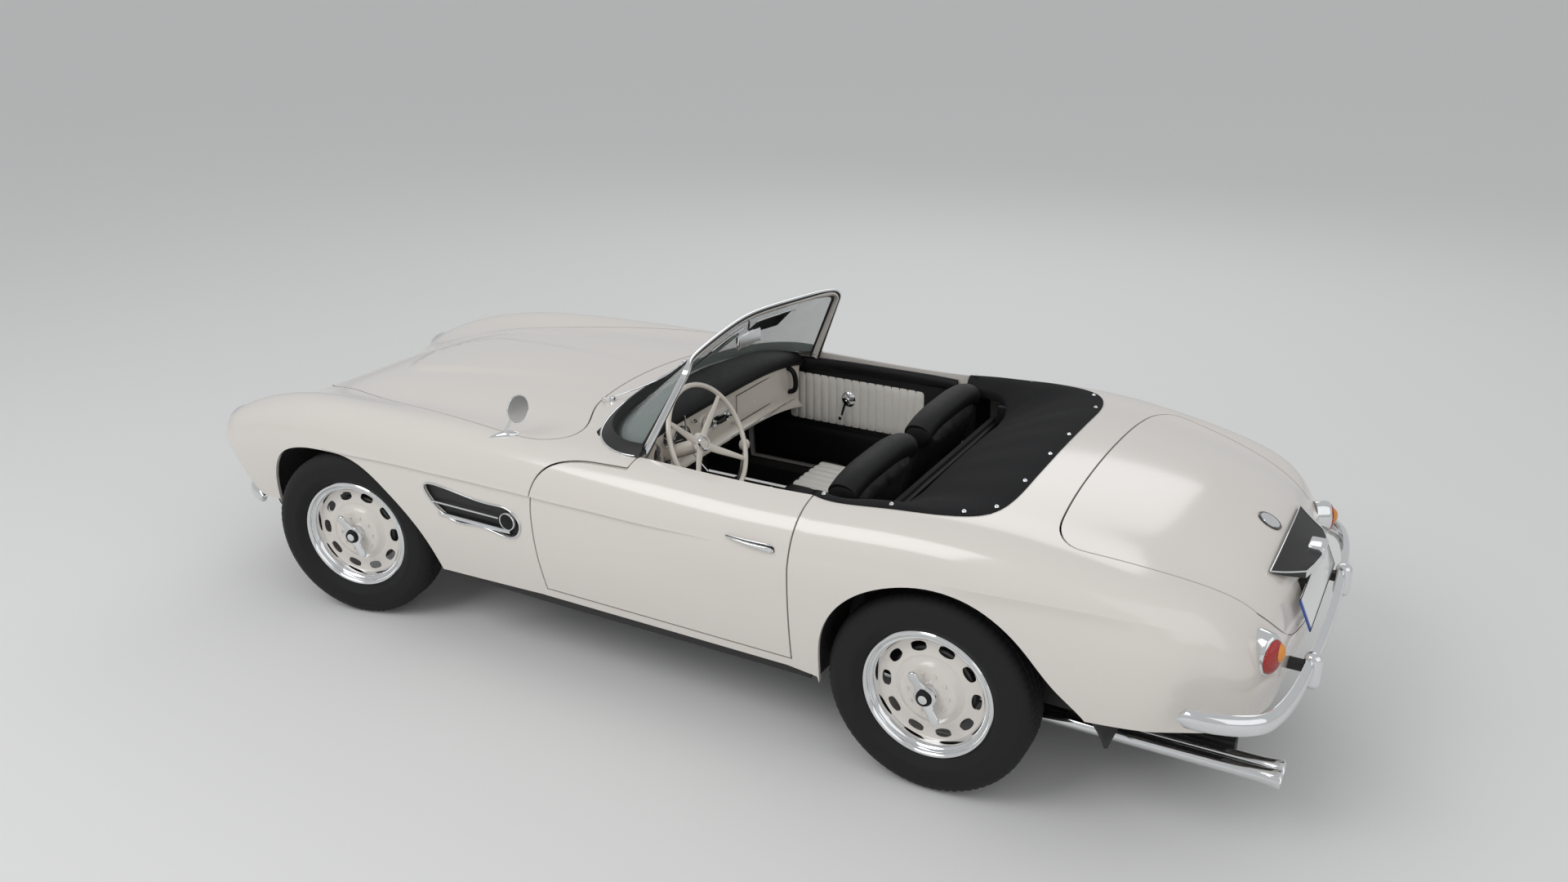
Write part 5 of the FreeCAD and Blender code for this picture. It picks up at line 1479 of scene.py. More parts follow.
def makeSeats():
    v = seatValues
    for side, sign in handed:
        y = sign * (v["inner"] + v["outer"]) / 2
        width = v["outer"] - v["inner"]
        length = v["front"] - v["rear"]
        makePad("seatCushion_" + side, ((v["front"] + v["rear"]) / 2, y, 0.372),
                (length, width + 0.02, 0.185), -3, -0.21, 0.185, width * 0.32,
                ["seat_cushions"] if sign > 0 else ())
        (x0, z0), (x1, z1) = v["backFoot"], v["backTop"]
        lean = math.degrees(math.atan2(x0 - x1, z1 - z0))
        height = math.hypot(x1 - x0, z1 - z0)
        makePad("seatBack_" + side, ((x0 + x1) / 2, sign * 0.305, (z0 + z1) / 2),
                (height, 0.5, v["backWall"]), 90 - lean, -0.2, 0.12, 0.16,
                ["seat_backs"] if sign > 0 else ())
        top = []
        for t in np.linspace(0, 1, 30):
            sidewise = (t - 0.5) * 0.49
            drop = 0.028 * abs(2 * t - 1) ** 3.5
            top.append((x1 + 0.012, sign * 0.305 + sidewise, z1 - drop))
        roll = sweep(top, oval(0.052, 0.046, 24, 0.004))
        for end in (top[0], top[-1]):
            ball = bmesh.new()
            bmesh.ops.create_uvsphere(ball, u_segments=24, v_segments=14, radius=0.046)
            put(roll, ball, Matrix.Translation(end) @ Matrix.Diagonal((1.1, 0.35, 1, 1)))
        piece = newPiece("seatRoll_" + side, roll, "blackHide", "body", 60)
        hinge = sweep([(x0 - 0.045 - t * 0.03, sign * 0.556, z0 + 0.02 + t * 0.11)
                       for t in np.linspace(0, 1, 10)], roundBar(0.006, 0.026, 0.0025),
                      (1, 0, 0))
        newPiece("seatBracket_" + side, hinge, "chrome", "body", 50)


makeSeats()
print("seats made")


# Sills, posts, floor, wheel housings and frame

def sideBlocks(boxes, edge=0.0):
    # The same boxes on both sides of the car; each box is low corner and high corner.
    store = bmesh.new()
    for low, high in boxes:
        put(store, block(low, high, edge))
    return onBothSides(store)


def within(bm):
    # Keeps what lies inside the skin.
    return carve(bm, solidBody(0.014), "INTERSECT")


def makeUnderside():
    beams = within(sideBlocks([((-0.69, 0.6, 0.262), (0.85, 0.752, 0.3478))]))
    newPiece("sillBeams", beams, "blackMetal", "body", 30)
    posts = within(sideBlocks([((0.416, 0.64, 0.3), (0.464, 0.9, 0.862)),
                               ((-0.703, 0.64, 0.3), (-0.655, 0.9, 0.862))]))
    newPiece("doorPosts", posts, "blackHide", "body", 30)
    floor = joined(block((-0.7, -0.6, 0.25), (0.56, 0.6, 0.262)),
                   block((-0.8, -0.56, 0.25), (-0.7, 0.56, 0.262)),
                   block((0.56, -0.6, 0.25), (0.572, 0.6, 0.85)),
                   block((-0.812, -0.56, 0.25), (-0.8, 0.56, 0.5)),
                   block((-1.94, -0.56, 0.47), (-0.8, 0.56, 0.482)))
    for start, end, top in ((-0.526, 0.56, 0.5), (-0.8, -0.526, 0.445)):
        crown = [(math.cos(a) * 0.045, math.sin(a) * 0.045) for a in np.linspace(0, math.pi / 2, 7)]
        half = [(0.13, 0.262)] + [(0.085 + a, top - 0.045 + b) for a, b in crown]
        tunnel = prism(half + [(-y, z) for y, z in reversed(half)], start, end, "yz")
        floor = joined(floor, tunnel)
    newPiece("floorPan", floor, "carpet", "body", 40, ["floor_pan"])
    rails = sideBlocks([((-1.99, 0.37, 0.19), (1.9, 0.43, 0.25))], 0.004)
    for x in (1.84, 1.0, 0.1, -0.76, -1.96):
        rails = joined(rails, block((x, -0.371, 0.2), (x + 0.06, 0.371, 0.24), 0.004))
    newPiece("frameRails", rails, "blackMetal", "body", 30, ["chassis_frame"])
    store = bmesh.new()
    for outline, innerY, room in ((frontArch, 0.43, 0.028), (rearArch, 0.56, 0.006)):
        liner = carve(archPrism(pushed(outline, room + 0.008), innerY, 0.9),
                      archPrism(pushed(outline, room), innerY + 0.008, 0.95))
        put(store, liner)
    for low, high in (((-2.3, 0.3, 0), (2.3, 1, 0.3)), ((1.258, 0.3, 0.2), (1.498, 1, 0.48)),
                      ((-1.17, 0.3, 0.2), (-1.05, 1, 0.42))):
        store = carve(store, block(low, high))
    newPiece("wheelHousings", within(onBothSides(store)), "blackMetal", "body", 30,
             ["wheel_housings"])


makeUnderside()


# Running gear and engine

def coil(centre, radius, wire, turns, tall):
    # A round spring standing on its end.
    steps = turns * 16
    return rod([(centre[0] + radius * math.cos(math.tau * i / 16),
                 centre[1] + radius * math.sin(math.tau * i / 16), centre[2] + tall * i / steps)
                for i in range(steps + 1)], wire, 8)


def makeGear():
    members = block((1.318, -0.43, 0.25), (1.438, 0.43, 0.456), 0.012)
    for sign in (1, -1):
        for low, inner in ((0.226, 0.43), (0.436, 0.425)):
            arm = prism([(1.278, sign * inner), (1.354, sign * 0.67), (1.402, sign * 0.67),
                         (1.478, sign * inner)], low, low + 0.02)
            hole = prism([(1.325, sign * 0.46), (1.365, sign * 0.59), (1.391, sign * 0.59),
                          (1.431, sign * 0.46)], low - 0.01, low + 0.03)
            members = joined(members, bevel(carve(arm, hole), 0.003, 2))
    newPiece("frontArms", members, "blackMetal", "body", 30, ["front_suspension"])
    springs = bmesh.new()
    for sign in (1, -1):
        spring = coil((1.378, sign * 0.5, 0.25), 0.045, 0.006, 5, 0.18)
        put(springs, spring)
    newPiece("frontSprings", springs, "steel", "body", 60)
    for name, sign in handed:
        turn = wheelPlace("front", name)
        stub = lathe([(0, -0.0474), (0.08, -0.0474), (0.0845, -0.0462), (0.08, -0.0434),
                      (0.022, -0.043), (0.0195, -0.035), (0.0195, 0.024), (0, 0.024)],
                     steps=48)
        carrier = bmesh.new()
        put(carrier, stub, turn)
        carrier = joined(carrier, lathe([(0, 0.2465), (0.021, 0.2465), (0.022, 0.249),
                                         (0.022, 0.433), (0.021, 0.4355), (0, 0.4355)],
                                        (1.378, sign * 0.648, 0), (0, 0, 1), 32))
        newPiece("frontKnuckle_" + name, carrier, "iron", "knuckle_" + name, 30,
                 ["knuckle_" + name])
    half = [(0, 0.737), (0.0195, 0.737), (0.0195, 0.67), (0.037, 0.668), (0.037, 0.18),
            (0.05, 0.13), (0.088, 0.075), (0.097, 0.04), (0.098, 0)]
    axle = lathe(mirrored(half), (-1.11, 0, 0.345), (0, 1, 0), 48)
    axle = joined(axle, block((-1.15, 0.37, 0.25), (-1.07, 0.43, 0.32), 0.006),
                  block((-1.15, -0.43, 0.25), (-1.07, -0.37, 0.32), 0.006))
    newPiece("rearAxle", axle, "iron", "body", 30, ["rear_axle"])


makeGear()


def makeEngine():
    core = joined(block((0.745, -0.15, 0.24), (1.295, 0.15, 0.56), 0.02),
                  block((0.76, -0.1, 0.54), (1.27, 0.1, 0.6), 0.02))
    for sign in (1, -1):
        bank = block((0.8, -0.075, -0.15), (1.22, 0.075, 0.09), 0.012)
        put(core, bank, Matrix.Translation((0, sign * 0.13, 0.555))
            @ Matrix.Rotation(-sign * 0.75, 4, "X"))
    newPiece("engineBlock", core, "iron", "body", 30, ["engine"])
    covers = bmesh.new()
    for sign in (1, -1):
        cover = block((0.815, -0.06, 0.088), (1.205, 0.06, 0.128), 0.018)
        for i in range(5):
            cover = joined(cover, block((0.84, -0.04 + 0.02 * i - 0.003, 0.12),
                                        (1.18, -0.04 + 0.02 * i + 0.003, 0.131), 0.002))
        put(covers, cover, Matrix.Translation((0, sign * 0.13, 0.545))
            @ Matrix.Rotation(-sign * 0.75, 4, "X"))
    newPiece("rockerCovers", covers, "steel", "body", 30)
    filters = bmesh.new()
    for x in (0.93, 1.09):
        drum = lathe([(0, 0.6), (0.062, 0.602), (0.066, 0.608), (0.066, 0.672), (0.062, 0.68),
                      (0.02, 0.686), (0.014, 0.694), (0, 0.695)], (x, 0, 0), steps=40)
        put(filters, drum)
    newPiece("airFilters", filters, "blackMetal", "body", 30)


makeEngine()


def makeExhaust():
    bright = bmesh.new()
    for y in (0.458, 0.512):
        pipe = lathe([(0.023, 2.94), (0.023, 0.092), (0.0235, 0.06), (0.0262, 0.03), (0.03, 0.004),
                      (0.0292, 0.0), (0.0272, 0.003), (0.023, 0.035), (0.0205, 0.07),
                      (0.0205, 0.3), (0, 0.3), (0, 2.94)],
                     (-2.14, y, 0.222), (1, 0, 0), 32)
        put(bright, pipe)
    newPiece("exhaustPipes", bright, "chrome", "body", 40, ["exhaust"])
    box = joined(block((-0.695, 0.438, 0.198), (-0.205, 0.546, 0.246), 0.021),
                 block((-0.3, 0.44, 0.222), (-0.26, 0.54, 0.25)))
    newPiece("silencer", box, "steel", "body", 40)


makeExhaust()
print("underside made")


# Bumpers, lamps, grille and vents

trim = {"lampX": 2.117, "lampY": 0.602, "lampZ": 0.612, "guardY": 0.33, "handleZ": 0.76,
        "ventZ": (0.552, 0.656), "bootBadgeX": -1.945, "noseBadgeX": 2.104}


def blade(line, profile, middle, ends=0.026):
    # A bar carried along a path, whose height rounds off toward both ends.
    path = through(line, 90)
    reach = [0.0]
    for a, b in zip(path, path[1:]):
        reach.append(reach[-1] + (b - a).length)
    ring = list(profile) + [profile[0]]

    def place(u, v):
        i = round(u * 89)
        ahead = (path[min(89, i + 1)] - path[max(0, i - 1)]).normalized()
        side = ahead.cross(Vector((0, 0, 1))).normalized()
        near = min(reach[i], reach[-1] - reach[i])
        tall = math.sqrt(max(0.02, 1 - max(0, (ends - near) / ends) ** 2))
        a, b = ring[round(v * (len(ring) - 1))]
        return path[i] + side * a + Vector((0, 0, middle + b * tall))
    return laid(place, 89, len(ring) - 1, True)


def makeBumper(name, line, low, tall, guardX, guardLow, guardTall, mountX):
    half = tall / 2
    share = [(-0.026, 1.0), (-0.018, 0.99), (-0.01, 0.9), (-0.0042, 0.68), (-0.001, 0.36),
             (0.0, 0), (-0.001, -0.36), (-0.0042, -0.68), (-0.01, -0.9), (-0.018, -0.99),
             (-0.026, -1.0), (-0.025, -0.88), (-0.014, -0.78), (-0.007, -0.45), (-0.005, 0),
             (-0.007, 0.45), (-0.014, 0.78), (-0.025, 0.88)]
    sign = 1 if guardX > 0 else -1
    path = [(x, y, 0) for x, y in mirrored(line)]
    if sign > 0:
        path.reverse()
    bar = blade(path, [(a, b * half) for a, b in share], low + half)
    for side in (1, -1):
        y = side * trim["guardY"]
        guard = block((min(guardX, guardX - sign * 0.055), y - 0.024, guardLow),
                      (max(guardX, guardX - sign * 0.055), y + 0.024, guardLow + guardTall),
                      0.0225, 6)
        bar = joined(bar, guard)
    newPiece(name + "Chrome", bar, "chrome", "body", 40, [name])
    arms = bmesh.new()
    for side in (1, -1):
        y = side * trim["guardY"]
        x = guardX - sign * 0.04
        arm = block((min(x, mountX), y - 0.015, low + 0.012),
                    (max(x, mountX), y + 0.015, low + 0.042), 0.003)
        put(arms, arm)
    newPiece(name + "Arms", arms, "blackMetal", "body", 30)


makeBumper("front_bumper", [(1.925, 0.742), (2.035, 0.705), (2.11, 0.61), (2.158, 0.4),
                            (2.178, 0.2), (2.182, 0)], 0.34, 0.062, 2.19, 0.3, 0.15, 2.04)
makeBumper("rear_bumper", [(-1.871, 0.8), (-2.0, 0.79), (-2.095, 0.738), (-2.145, 0.62),
                           (-2.17, 0.38), (-2.182, 0)], 0.487, 0.062, -2.19, 0.445, 0.12,
           -2.04)


def makeHeadlamps():
    v = trim
    rims, bowls, lenses = stores(3)
    for sign in (1, -1):
        place = (v["lampX"], sign * v["lampY"], v["lampZ"])
        rim = lathe([(0.084, -0.04), (0.0918, -0.05), (0.092, 0.0), (0.0916, 0.01), (0.09, 0.019),
                     (0.0872, 0.026), (0.0845, 0.027), (0.0835, 0.02)],
                    place, (1, 0, 0), 72)
        bowl = lathe([(0, -0.042), (0.02, -0.041), (0.045, -0.032), (0.066, -0.012), (0.08, 0.014),
                      (0.0835, 0.02), (0.0837, 0.01), (0.07, -0.016), (0.048, -0.036),
                      (0.02, -0.046), (0, -0.047)], place, (1, 0, 0), 64)
        bulb = lathe([(0, -0.041), (0.012, -0.04), (0.012, -0.02), (0.009, -0.01),
                      (0, -0.008)], place, (1, 0, 0), 24)
        outer = domed(0.0836, 0.0205, 0.0225, 12)
        lens = lathe(outer + [(r * 0.965, s - 0.003) for r, s in reversed(outer)], place,
                     (1, 0, 0), 64)
        for store, part in ((rims, rim), (bowls, bowl), (bowls, bulb), (lenses, lens)):
            put(store, part)
    newPiece("lampRims", rims, "chrome", "body", 40, ["headlamp_rims"])
    newPiece("lampBowls", bowls, "chrome", "body", 40)
    newPiece("lampLenses", lenses, "lampGlass", "body", 40, ["headlamp_lenses"])


def makeLampGlass():
    glass = Finish("ribbedGlass")
    ribs = (glass.axes()[1] * 620).sine()
    edge = glass.node("ShaderNodeFresnel", {}, {"IOR": 1.5}).outputs[0]
    glass.material.surface_render_method = "BLENDED"
    return glass.set(color=(0.82, 0.85, 0.86), rough=0.05, alpha=Term(glass, edge) * 0.6 + 0.34,
                     normal=glass.bump(ribs, 0.5, 0.002)).material


finish["lampGlass"] = makeLampGlass()
makeHeadlamps()


def lampFace(spot, facing, radius, tall):
    # A domed lens on a bright base, standing on the skin.
    base = lathe([(0, -0.012), (radius + 0.006, -0.012), (radius + 0.006, 0.003),
                  (radius + 0.003, 0.007), (radius, 0.008), (0, 0.008)], spot, facing, 40)
    return base, lathe(domed(radius, 0.006, tall, 9) + [(0, 0.004)], spot, facing, 40)


def makeSmallLamps():
    bright, amber, red = stores(3)
    for sign in (1, -1):
        spot = skinFront(sign * 0.64, 0.468)
        base, dome = lampFace(spot, skinNormal(spot), 0.03, 0.018)
        put(bright, base)
        put(amber, dome)
        # The lamp faces back and outward, and leans with the wing.
        seat = skinHit((-3, sign * 0.53, 0.632), (1, 0, 0))
        stretch = (Matrix.Translation(seat + Vector((-0.018, 0, 0)))
                   @ Matrix.Rotation(sign * math.radians(-30), 4, "Z")
                   @ Matrix.Rotation(sign * math.radians(8), 4, "X")
                   @ Matrix.Diagonal((1, 1, 1.5, 1)))
        bezel = lathe([(0, 0.045), (0.0435, 0.045), (0.0445, 0.004), (0.0425, -0.005),
                       (0.0385, -0.009), (0.0, -0.009)], (0, 0, 0), (1, 0, 0), 56)
        put(bright, bezel, stretch)
        lens = lathe(domed(0.037, -0.008, -0.022, 12) + [(0, -0.006)], (0, 0, 0), (1, 0, 0), 56)
        put(red, lens, stretch)
        knob = lathe(domed(0.022, -0.014, -0.023, 10) + [(0, -0.012)], (0, 0, 0), (1, 0, 0), 40)
        put(amber, knob, stretch @ Matrix.Translation((0, sign * -0.012, 0.009)))
    newPiece("lampBezels", bright, "chrome", "body", 40)
    newPiece("amberLenses", amber, "amber", "body", 40)
    newPiece("redLenses", red, "red", "body", 40, ["tail_lamps"])


makeSmallLamps()


def makeGrille():
    frames, bars = stores(2)
    for sign in (1, -1):
        ring = [skinFront(sign * y, z) for y, z in curved(grilleHole, 64)]
        ring = [p + skinNormal(p) * 0.001 for p in ring]
        put(frames, rod(ring, 0.0065, 12, False, True))
        for y in (0.18, 0.3):
            post = rod([skinFront(sign * y, z) - Vector((0.034, 0, 0))
                        for z in np.linspace(0.45, 0.585, 6)], 0.0045)
            put(bars, post)
    for i in range(6):
        z = 0.463 + 0.0215 * i
        line = [skinFront(y, z) - Vector((0.026, 0, 0))
                for y in np.linspace(-0.445, 0.445, 30)]
        put(bars, sweep(line, roundBar(0.01, 0.0075, 0.003, 3)))
    newPiece("grilleFrames", frames, "chrome", "body", 60)
    newPiece("grilleBars", bars, "chrome", "body", 60, ["grille"])
    # A black sheet behind the bars: it stands in for the dark radiator, and is partly painted shade
    # that darkens the opening.
    back = laid(lambda u, v: skinFront(-0.47 + 0.94 * u, 0.44 + 0.155 * v)
                - Vector((0.075, 0, 0)), 40, 8)
    newPiece("grilleRadiatorAndShade", back, "blackMetal", "body", 60)


makeGrille()


# Side trim: vents, door handles, door linings, mirror

def sideSpot(x, z, side, out=0.0):
    # A point that stands the given distance off the body side.
    spot = skinSide(x, z, side)
    return spot + skinNormal(spot) * out


def makeVents():
    frames, dark, discs, rings = stores(4)
    low, high = trim["ventZ"]
    for side in (1, -1):
        ring = [sideSpot(x, z, side, 0.0025) for x, z in curved(ventOutline, 90)]
        put(frames, rod(ring, 0.0038, 12, False, True))
        for share, start, end, thick in ((0.09, 0.5, 0.845, 0.0085),
                                         (0.52, 0.552, 0.875, 0.0042)):
            z = low + (high - low) * share
            bar = rod([sideSpot(x, z, side, -0.001) for x in np.linspace(start, end, 14)], thick,
                      12)
            put(frames, bar)
        # A black sheet just inside the vent opening: painted shade, standing in for the dark inside
        # of the opening.
        sheet = laid(lambda u, v: sideSpot(0.44 + 0.48 * u, low - 0.006 + (high - low + 0.012)
                                           * v, side, -0.0165), 30, 8)
        put(dark, sheet)
        spot = sideSpot(0.51, 0.603, side, 0.001)
        ring = lathe([(0.03, -0.012), (0.035, -0.012), (0.035, 0.003), (0.033, 0.0055),
                      (0.03, 0.0045)], spot, skinNormal(spot), 48)
        disc = lathe([(0, -0.012), (0.0302, -0.012), (0.0302, 0.003), (0.015, 0.0042),
                      (0, 0.0045)], spot, skinNormal(spot), 48)
        put(rings, ring)
        put(discs, disc)
    newPiece("ventBars", joined(frames, rings), "chrome", "body", 60, ["side_vents"])
    # The black sheet behind the vent is painted shade.
    newPiece("ventPaintedShade", dark, "blackMetal", "body", 60)
    newPiece("ventDiscs", discs, "blackHide", "body", 40)


makeVents()


def makeHandles():
    for name, side in handed:
        def teardrop(out, rise, scale):
            def place(u, v):
                along = -0.414 - 0.184 * u
                tall = 0.0135 * scale * (0.16 + 0.84 * min(1, u / 0.86) ** 0.9)
                tall *= math.sqrt(max(0.0, 1 - max(0, (u - 0.9) / 0.1) ** 2))
                turn = math.tau * v
                spot = sideSpot(along, trim["handleZ"] - 0.012 * u, side, 0)
                normal = skinNormal(spot)
                return spot + normal * (out + rise * max(0, math.sin(math.pi * min(
                    1, u * 1.06))) ** 0.6 * (0.5 + 0.5 * math.cos(turn))) + Vector(
                        (0, 0, tall * math.sin(turn)))
            return laid(place, 50, 20, True)
        plate = teardrop(-0.001, 0.0065, 1.15)
        grip = teardrop(0.0075, 0.0135, 0.62)
        dark = teardrop(0.0022, 0.0072, 0.8)
        spot = sideSpot(-0.583, trim["handleZ"] - 0.011, side, 0.004)
        lock = lathe([(0, 0.0), (0.0075, 0.0), (0.0075, 0.0085), (0.006, 0.0105), (0, 0.0105)],
                     spot, skinNormal(spot), 24)
        newPiece("handleChrome_" + name, joined(plate, lock, grip), "chrome", "door_" + name, 50,
                 ["door_handle_" + name])
        newPiece("handleDark_" + name, dark, "blackMetal", "door_" + name, 50)


makeHandles()


def makeDoorLinings():
    foot = doorFoot + 0.022
    panel = [(0.344, foot), (0.357, 0.7), (0.294, 0.8), (0.04, 0.842), (-0.59, 0.842), (-0.6, 0.7),
             (-0.604, foot)]
    white = (-0.47, 0.16, 0.585, 0.8)
    for name, side in handed:
        def sheetOf(x0, x1, z0, z1, wall, rib=0.0, ribs=0, depth=0.013):
            # A thin panel on the door's inner face, with upright channels if asked.
            def place(u, v):
                x, z = x0 + (x1 - x0) * u, z0 + (z1 - z0) * v
                edge = min(1, min(u, 1 - u) * 12) ** 0.5 * min(1, min(v, 1 - v) * 8) ** 0.5
                wave = abs(math.sin(math.pi * ribs * u)) ** 0.6 if ribs else 1
                return Vector((x, side * (doorInner - depth - (wall + rib * wave) * edge), z))
            front = laid(place, max(12, ribs * 10), 14)
            back = laid(lambda u, v: Vector((x0 + (x1 - x0) * u, side * (doorInner - depth + 0.003),
                                             z0 + (z1 - z0) * v)), 1, 1)
            return joined(front, back)
        board = prism(panel, *sorted((side * 0.6585, side * 0.6715)), "xz")
        newPiece("doorBoard_" + name, bevel(board, 0.003, 2), "blackHide", "door_" + name, 40,
                 ["door_trim_" + name])
        pleats = sheetOf(*white, 0.001, 0.006, 17)
        newPiece("doorPleats_" + name, pleats, "whiteHide", "door_" + name, 60)
        band = sheetOf(-0.58, 0.33, 0.395, 0.56, 0.005)
        newPiece("doorBand_" + name, band, "blackHide", "door_" + name, 60)
        line = [(0.33, 0.668, 0.782), (0.24, 0.66, 0.826), (0.12, 0.655, 0.845),
                (-0.1, 0.654, 0.855), (-0.35, 0.656, 0.856), (-0.56, 0.66, 0.853),
                (-0.61, 0.662, 0.85)]
        roll = sweep(through([(x, side * y, z) for x, y, z in line]), oval(0.016, 0.024, 18))
        newPiece("doorRoll_" + name, roll, "blackHide", "door_" + name, 60)
        bright = bmesh.new()
        plate = lathe([(0, 0), (0.032, 0), (0.033, 0.003), (0.024, 0.009), (0.01, 0.012),
                       (0.01, 0.026), (0, 0.026)], (-0.125, side * 0.655, 0.712),
                      (0, -side, 0), 36)
        crank = rod([(-0.125, side * 0.632, 0.712), (-0.118, side * 0.628, 0.69),
                     (-0.108, side * 0.626, 0.655), (-0.106, side * 0.626, 0.64)], 0.0055, 12)
        knob = lathe([(0, -0.004), (0.008, -0.003), (0.01, 0.006), (0.008, 0.018), (0, 0.02)],
                     (-0.106, side * 0.628, 0.636), (0, -side, 0), 24)
        pull = rod([(0.225, side * 0.65, 0.742), (0.215, side * 0.632, 0.744),
                    (0.15, side * 0.628, 0.73), (0.128, side * 0.632, 0.722)], 0.006, 12)
        for part in (plate, crank, knob, pull):
            put(bright, part)
        newPiece("doorBright_" + name, bright, "chrome", "door_" + name, 40)
        pocket = sheetOf(0.165, 0.325, 0.64, 0.785, 0.003)
        newPiece("doorPocket_" + name, pocket, "blackMetal", "door_" + name, 50)


makeDoorLinings()


def makeMirror():
    ground = skinTop(0.6, 0.742)

    def foot(u, v):
        x, y = 0.634 - 0.11 * u, 0.751 - 0.062 * u
        bulge = math.sin(math.pi * u ** 1.5)
        across = 0.0195 * bulge ** 0.8 * math.cos(math.tau * v)
        lift = 0.017 * bulge ** 0.7 * max(-0.2, math.sin(math.tau * v))
        return Vector((x, y, 0)) + Vector((0.35, -0.94, 0)) * across + Vector(
            (0, 0, skinTop(x, y).z - 0.003 + lift))
    base = laid(foot, 30, 20, True)
    stem = rod([(0.575, 0.727, ground.z + 0.004), (0.552, 0.716, ground.z + 0.05),
                (0.53, 0.71, ground.z + 0.085), (0.521, 0.706, ground.z + 0.112)], 0.0048, 12)
    place, facing = Vector((0.514, 0.704, ground.z + 0.112)), Vector((-1, 0.12, 0.05))
    shell = lathe([(0, -0.015), (0.02, -0.0145), (0.04, -0.0105), (0.05, -0.0035), (0.0515, 0.001),
                   (0.05, 0.0022), (0.048, 0.001), (0, 0.0005)],
                  place, facing, 56)
    glass = lathe([(0, 0.0008), (0.0478, 0.0008), (0.0478, 0.0018), (0, 0.002)], place, facing, 56)
    newPiece("mirrorBody", joined(base, stem, shell), "chrome", "body", 50,
             ["wing_mirror"])
    newPiece("mirrorGlass", glass, "mirror", "body", 50)


finish["mirror"] = makeChrome("mirrorGlass", 0.3)
makeMirror()
print("side trim made")


# Hood well: padded cover with snaps, and the lined well below it

def makeHoodCover():
    half = [(-0.662, 0.6745), (-0.711, 0.688), (-0.83, 0.69), (-0.95, 0.681), (-1.12, 0.658),
            (-1.2, 0.615), (-1.236, 0.555), (-1.252, 0.49), (-1.262, 0.3), (-1.263, 0.15),
            (-1.263, 0)]
    inner = [(-0.67, 0.612), (-0.715, 0.604), (-0.78, 0.594), (-0.832, 0.572), (-0.868, 0.53),
             (-0.886, 0.47), (-0.896, 0.4), (-0.903, 0.3), (-0.908, 0.2), (-0.911, 0.1),
             (-0.912, 0)]
    steps = 160
    outerLine = curved(mirrored(half), steps + 1, False)
    innerLine = curved(mirrored(inner), steps + 1, False)
    profile = [(v / 14, 0.0) for v in range(15)]
    profile += [(1.012, -0.006), (1.018, -0.016), (1.012, -0.027), (0.99, -0.034)]
    profile += [(0.8, -0.03), (0.45, -0.022), (0.1, -0.012), (0.0, -0.006)]

    def place(u, w):
        i = min(steps, round(u * steps))
        share, drop = profile[round(w * len(profile)) % len(profile)]
        (ox, oy), (ix, iy) = outerLine[i], innerLine[i]
        rim = skinTop(ox * 0.999, oy * 0.999)
        x, y = ox + (ix - ox) * share, oy + (iy - oy) * share
        width = math.hypot(ix - ox, iy - oy)
        back = min(1, max(0, (width - 0.07) / 0.22))
        fall = 0.022 + 0.068 * back
        bulge = 0.012 * math.sin(math.pi * min(1, share) ** 0.8)
        fold = 0.0025 * math.sin(u * 61 + share * 3) * math.sin(math.pi * min(1, share))
        z = rim.z + 0.0035 - fall * min(1, share) ** 1.35 + bulge * (0.6 + back) + fold + drop
        return Vector((x, y, z))
    cover = laid(place, steps, len(profile), True)
    piece = newPiece("hoodCover", cover, "cover", "body", 60, ["hood_well_cover"])


def makeWell():
    tub = bmesh.new()
    for low, high in (((-1.18, -0.54, 0.56), (-0.82, 0.54, 0.58)),
                      ((-1.18, -0.54, 0.575), (-1.16, 0.54, 0.84)),
                      ((-0.84, -0.54, 0.575), (-0.82, 0.54, 0.776)),
                      ((-1.165, 0.52, 0.575), (-0.835, 0.54, 0.845)),
                      ((-1.165, -0.54, 0.575), (-0.835, -0.52, 0.845))):
        put(tub, block(low, high, 0.006))
    newPiece("wellLining", tub, "blackHide", "body", 40)
    mat = block((-1.158, -0.518, 0.5795), (-0.842, 0.518, 0.584), 0.002)
    newPiece("wellMat", mat, "brownMat", "body", 40)
    snaps = bmesh.new()
    for x, y in ((-0.69, 0.664), (-0.926, 0.664), (-1.15, 0.624), (-1.225, 0.545),
                 (-1.243, 0.34), (-1.246, 0.1), (-1.246, -0.103), (-1.238, -0.449),
                 (-1.188, -0.595), (-0.919, -0.666), (-0.69, -0.664)):
        ground = skinTop(x, y)
        stud = lathe([(0, -0.004), (0.0075, -0.004), (0.008, 0.0), (0.006, 0.003),
                      (0.0035, 0.0034), (0.003, 0.0055), (0, 0.006)],
                     ground + Vector((0, 0, 0.0062)), skinNormal(ground), 20)
        put(snaps, stud)
    newPiece("coverSnaps", snaps, "chrome", "body", 40)
    shelf = joined(block((-0.815, -0.575, 0.262), (-0.795, 0.575, 0.78), 0.004),
                   block((-0.8, -0.56, 0.262), (-0.7, 0.56, 0.266)))
    newPiece("rearCarpet", shelf, "carpet", "body", 40)


finish["brownMat"] = makeDull("brownMat", (0.035, 0.022, 0.015), (0.016, 0.011, 0.008), 700, 0.95,
                              0.0, 0.9)
makeHoodCover()
makeWell()
print("hood well made")


# Tail: blank plate, lamp hood, badge; scuttle: wipers, washer jets, inner mirror, visors

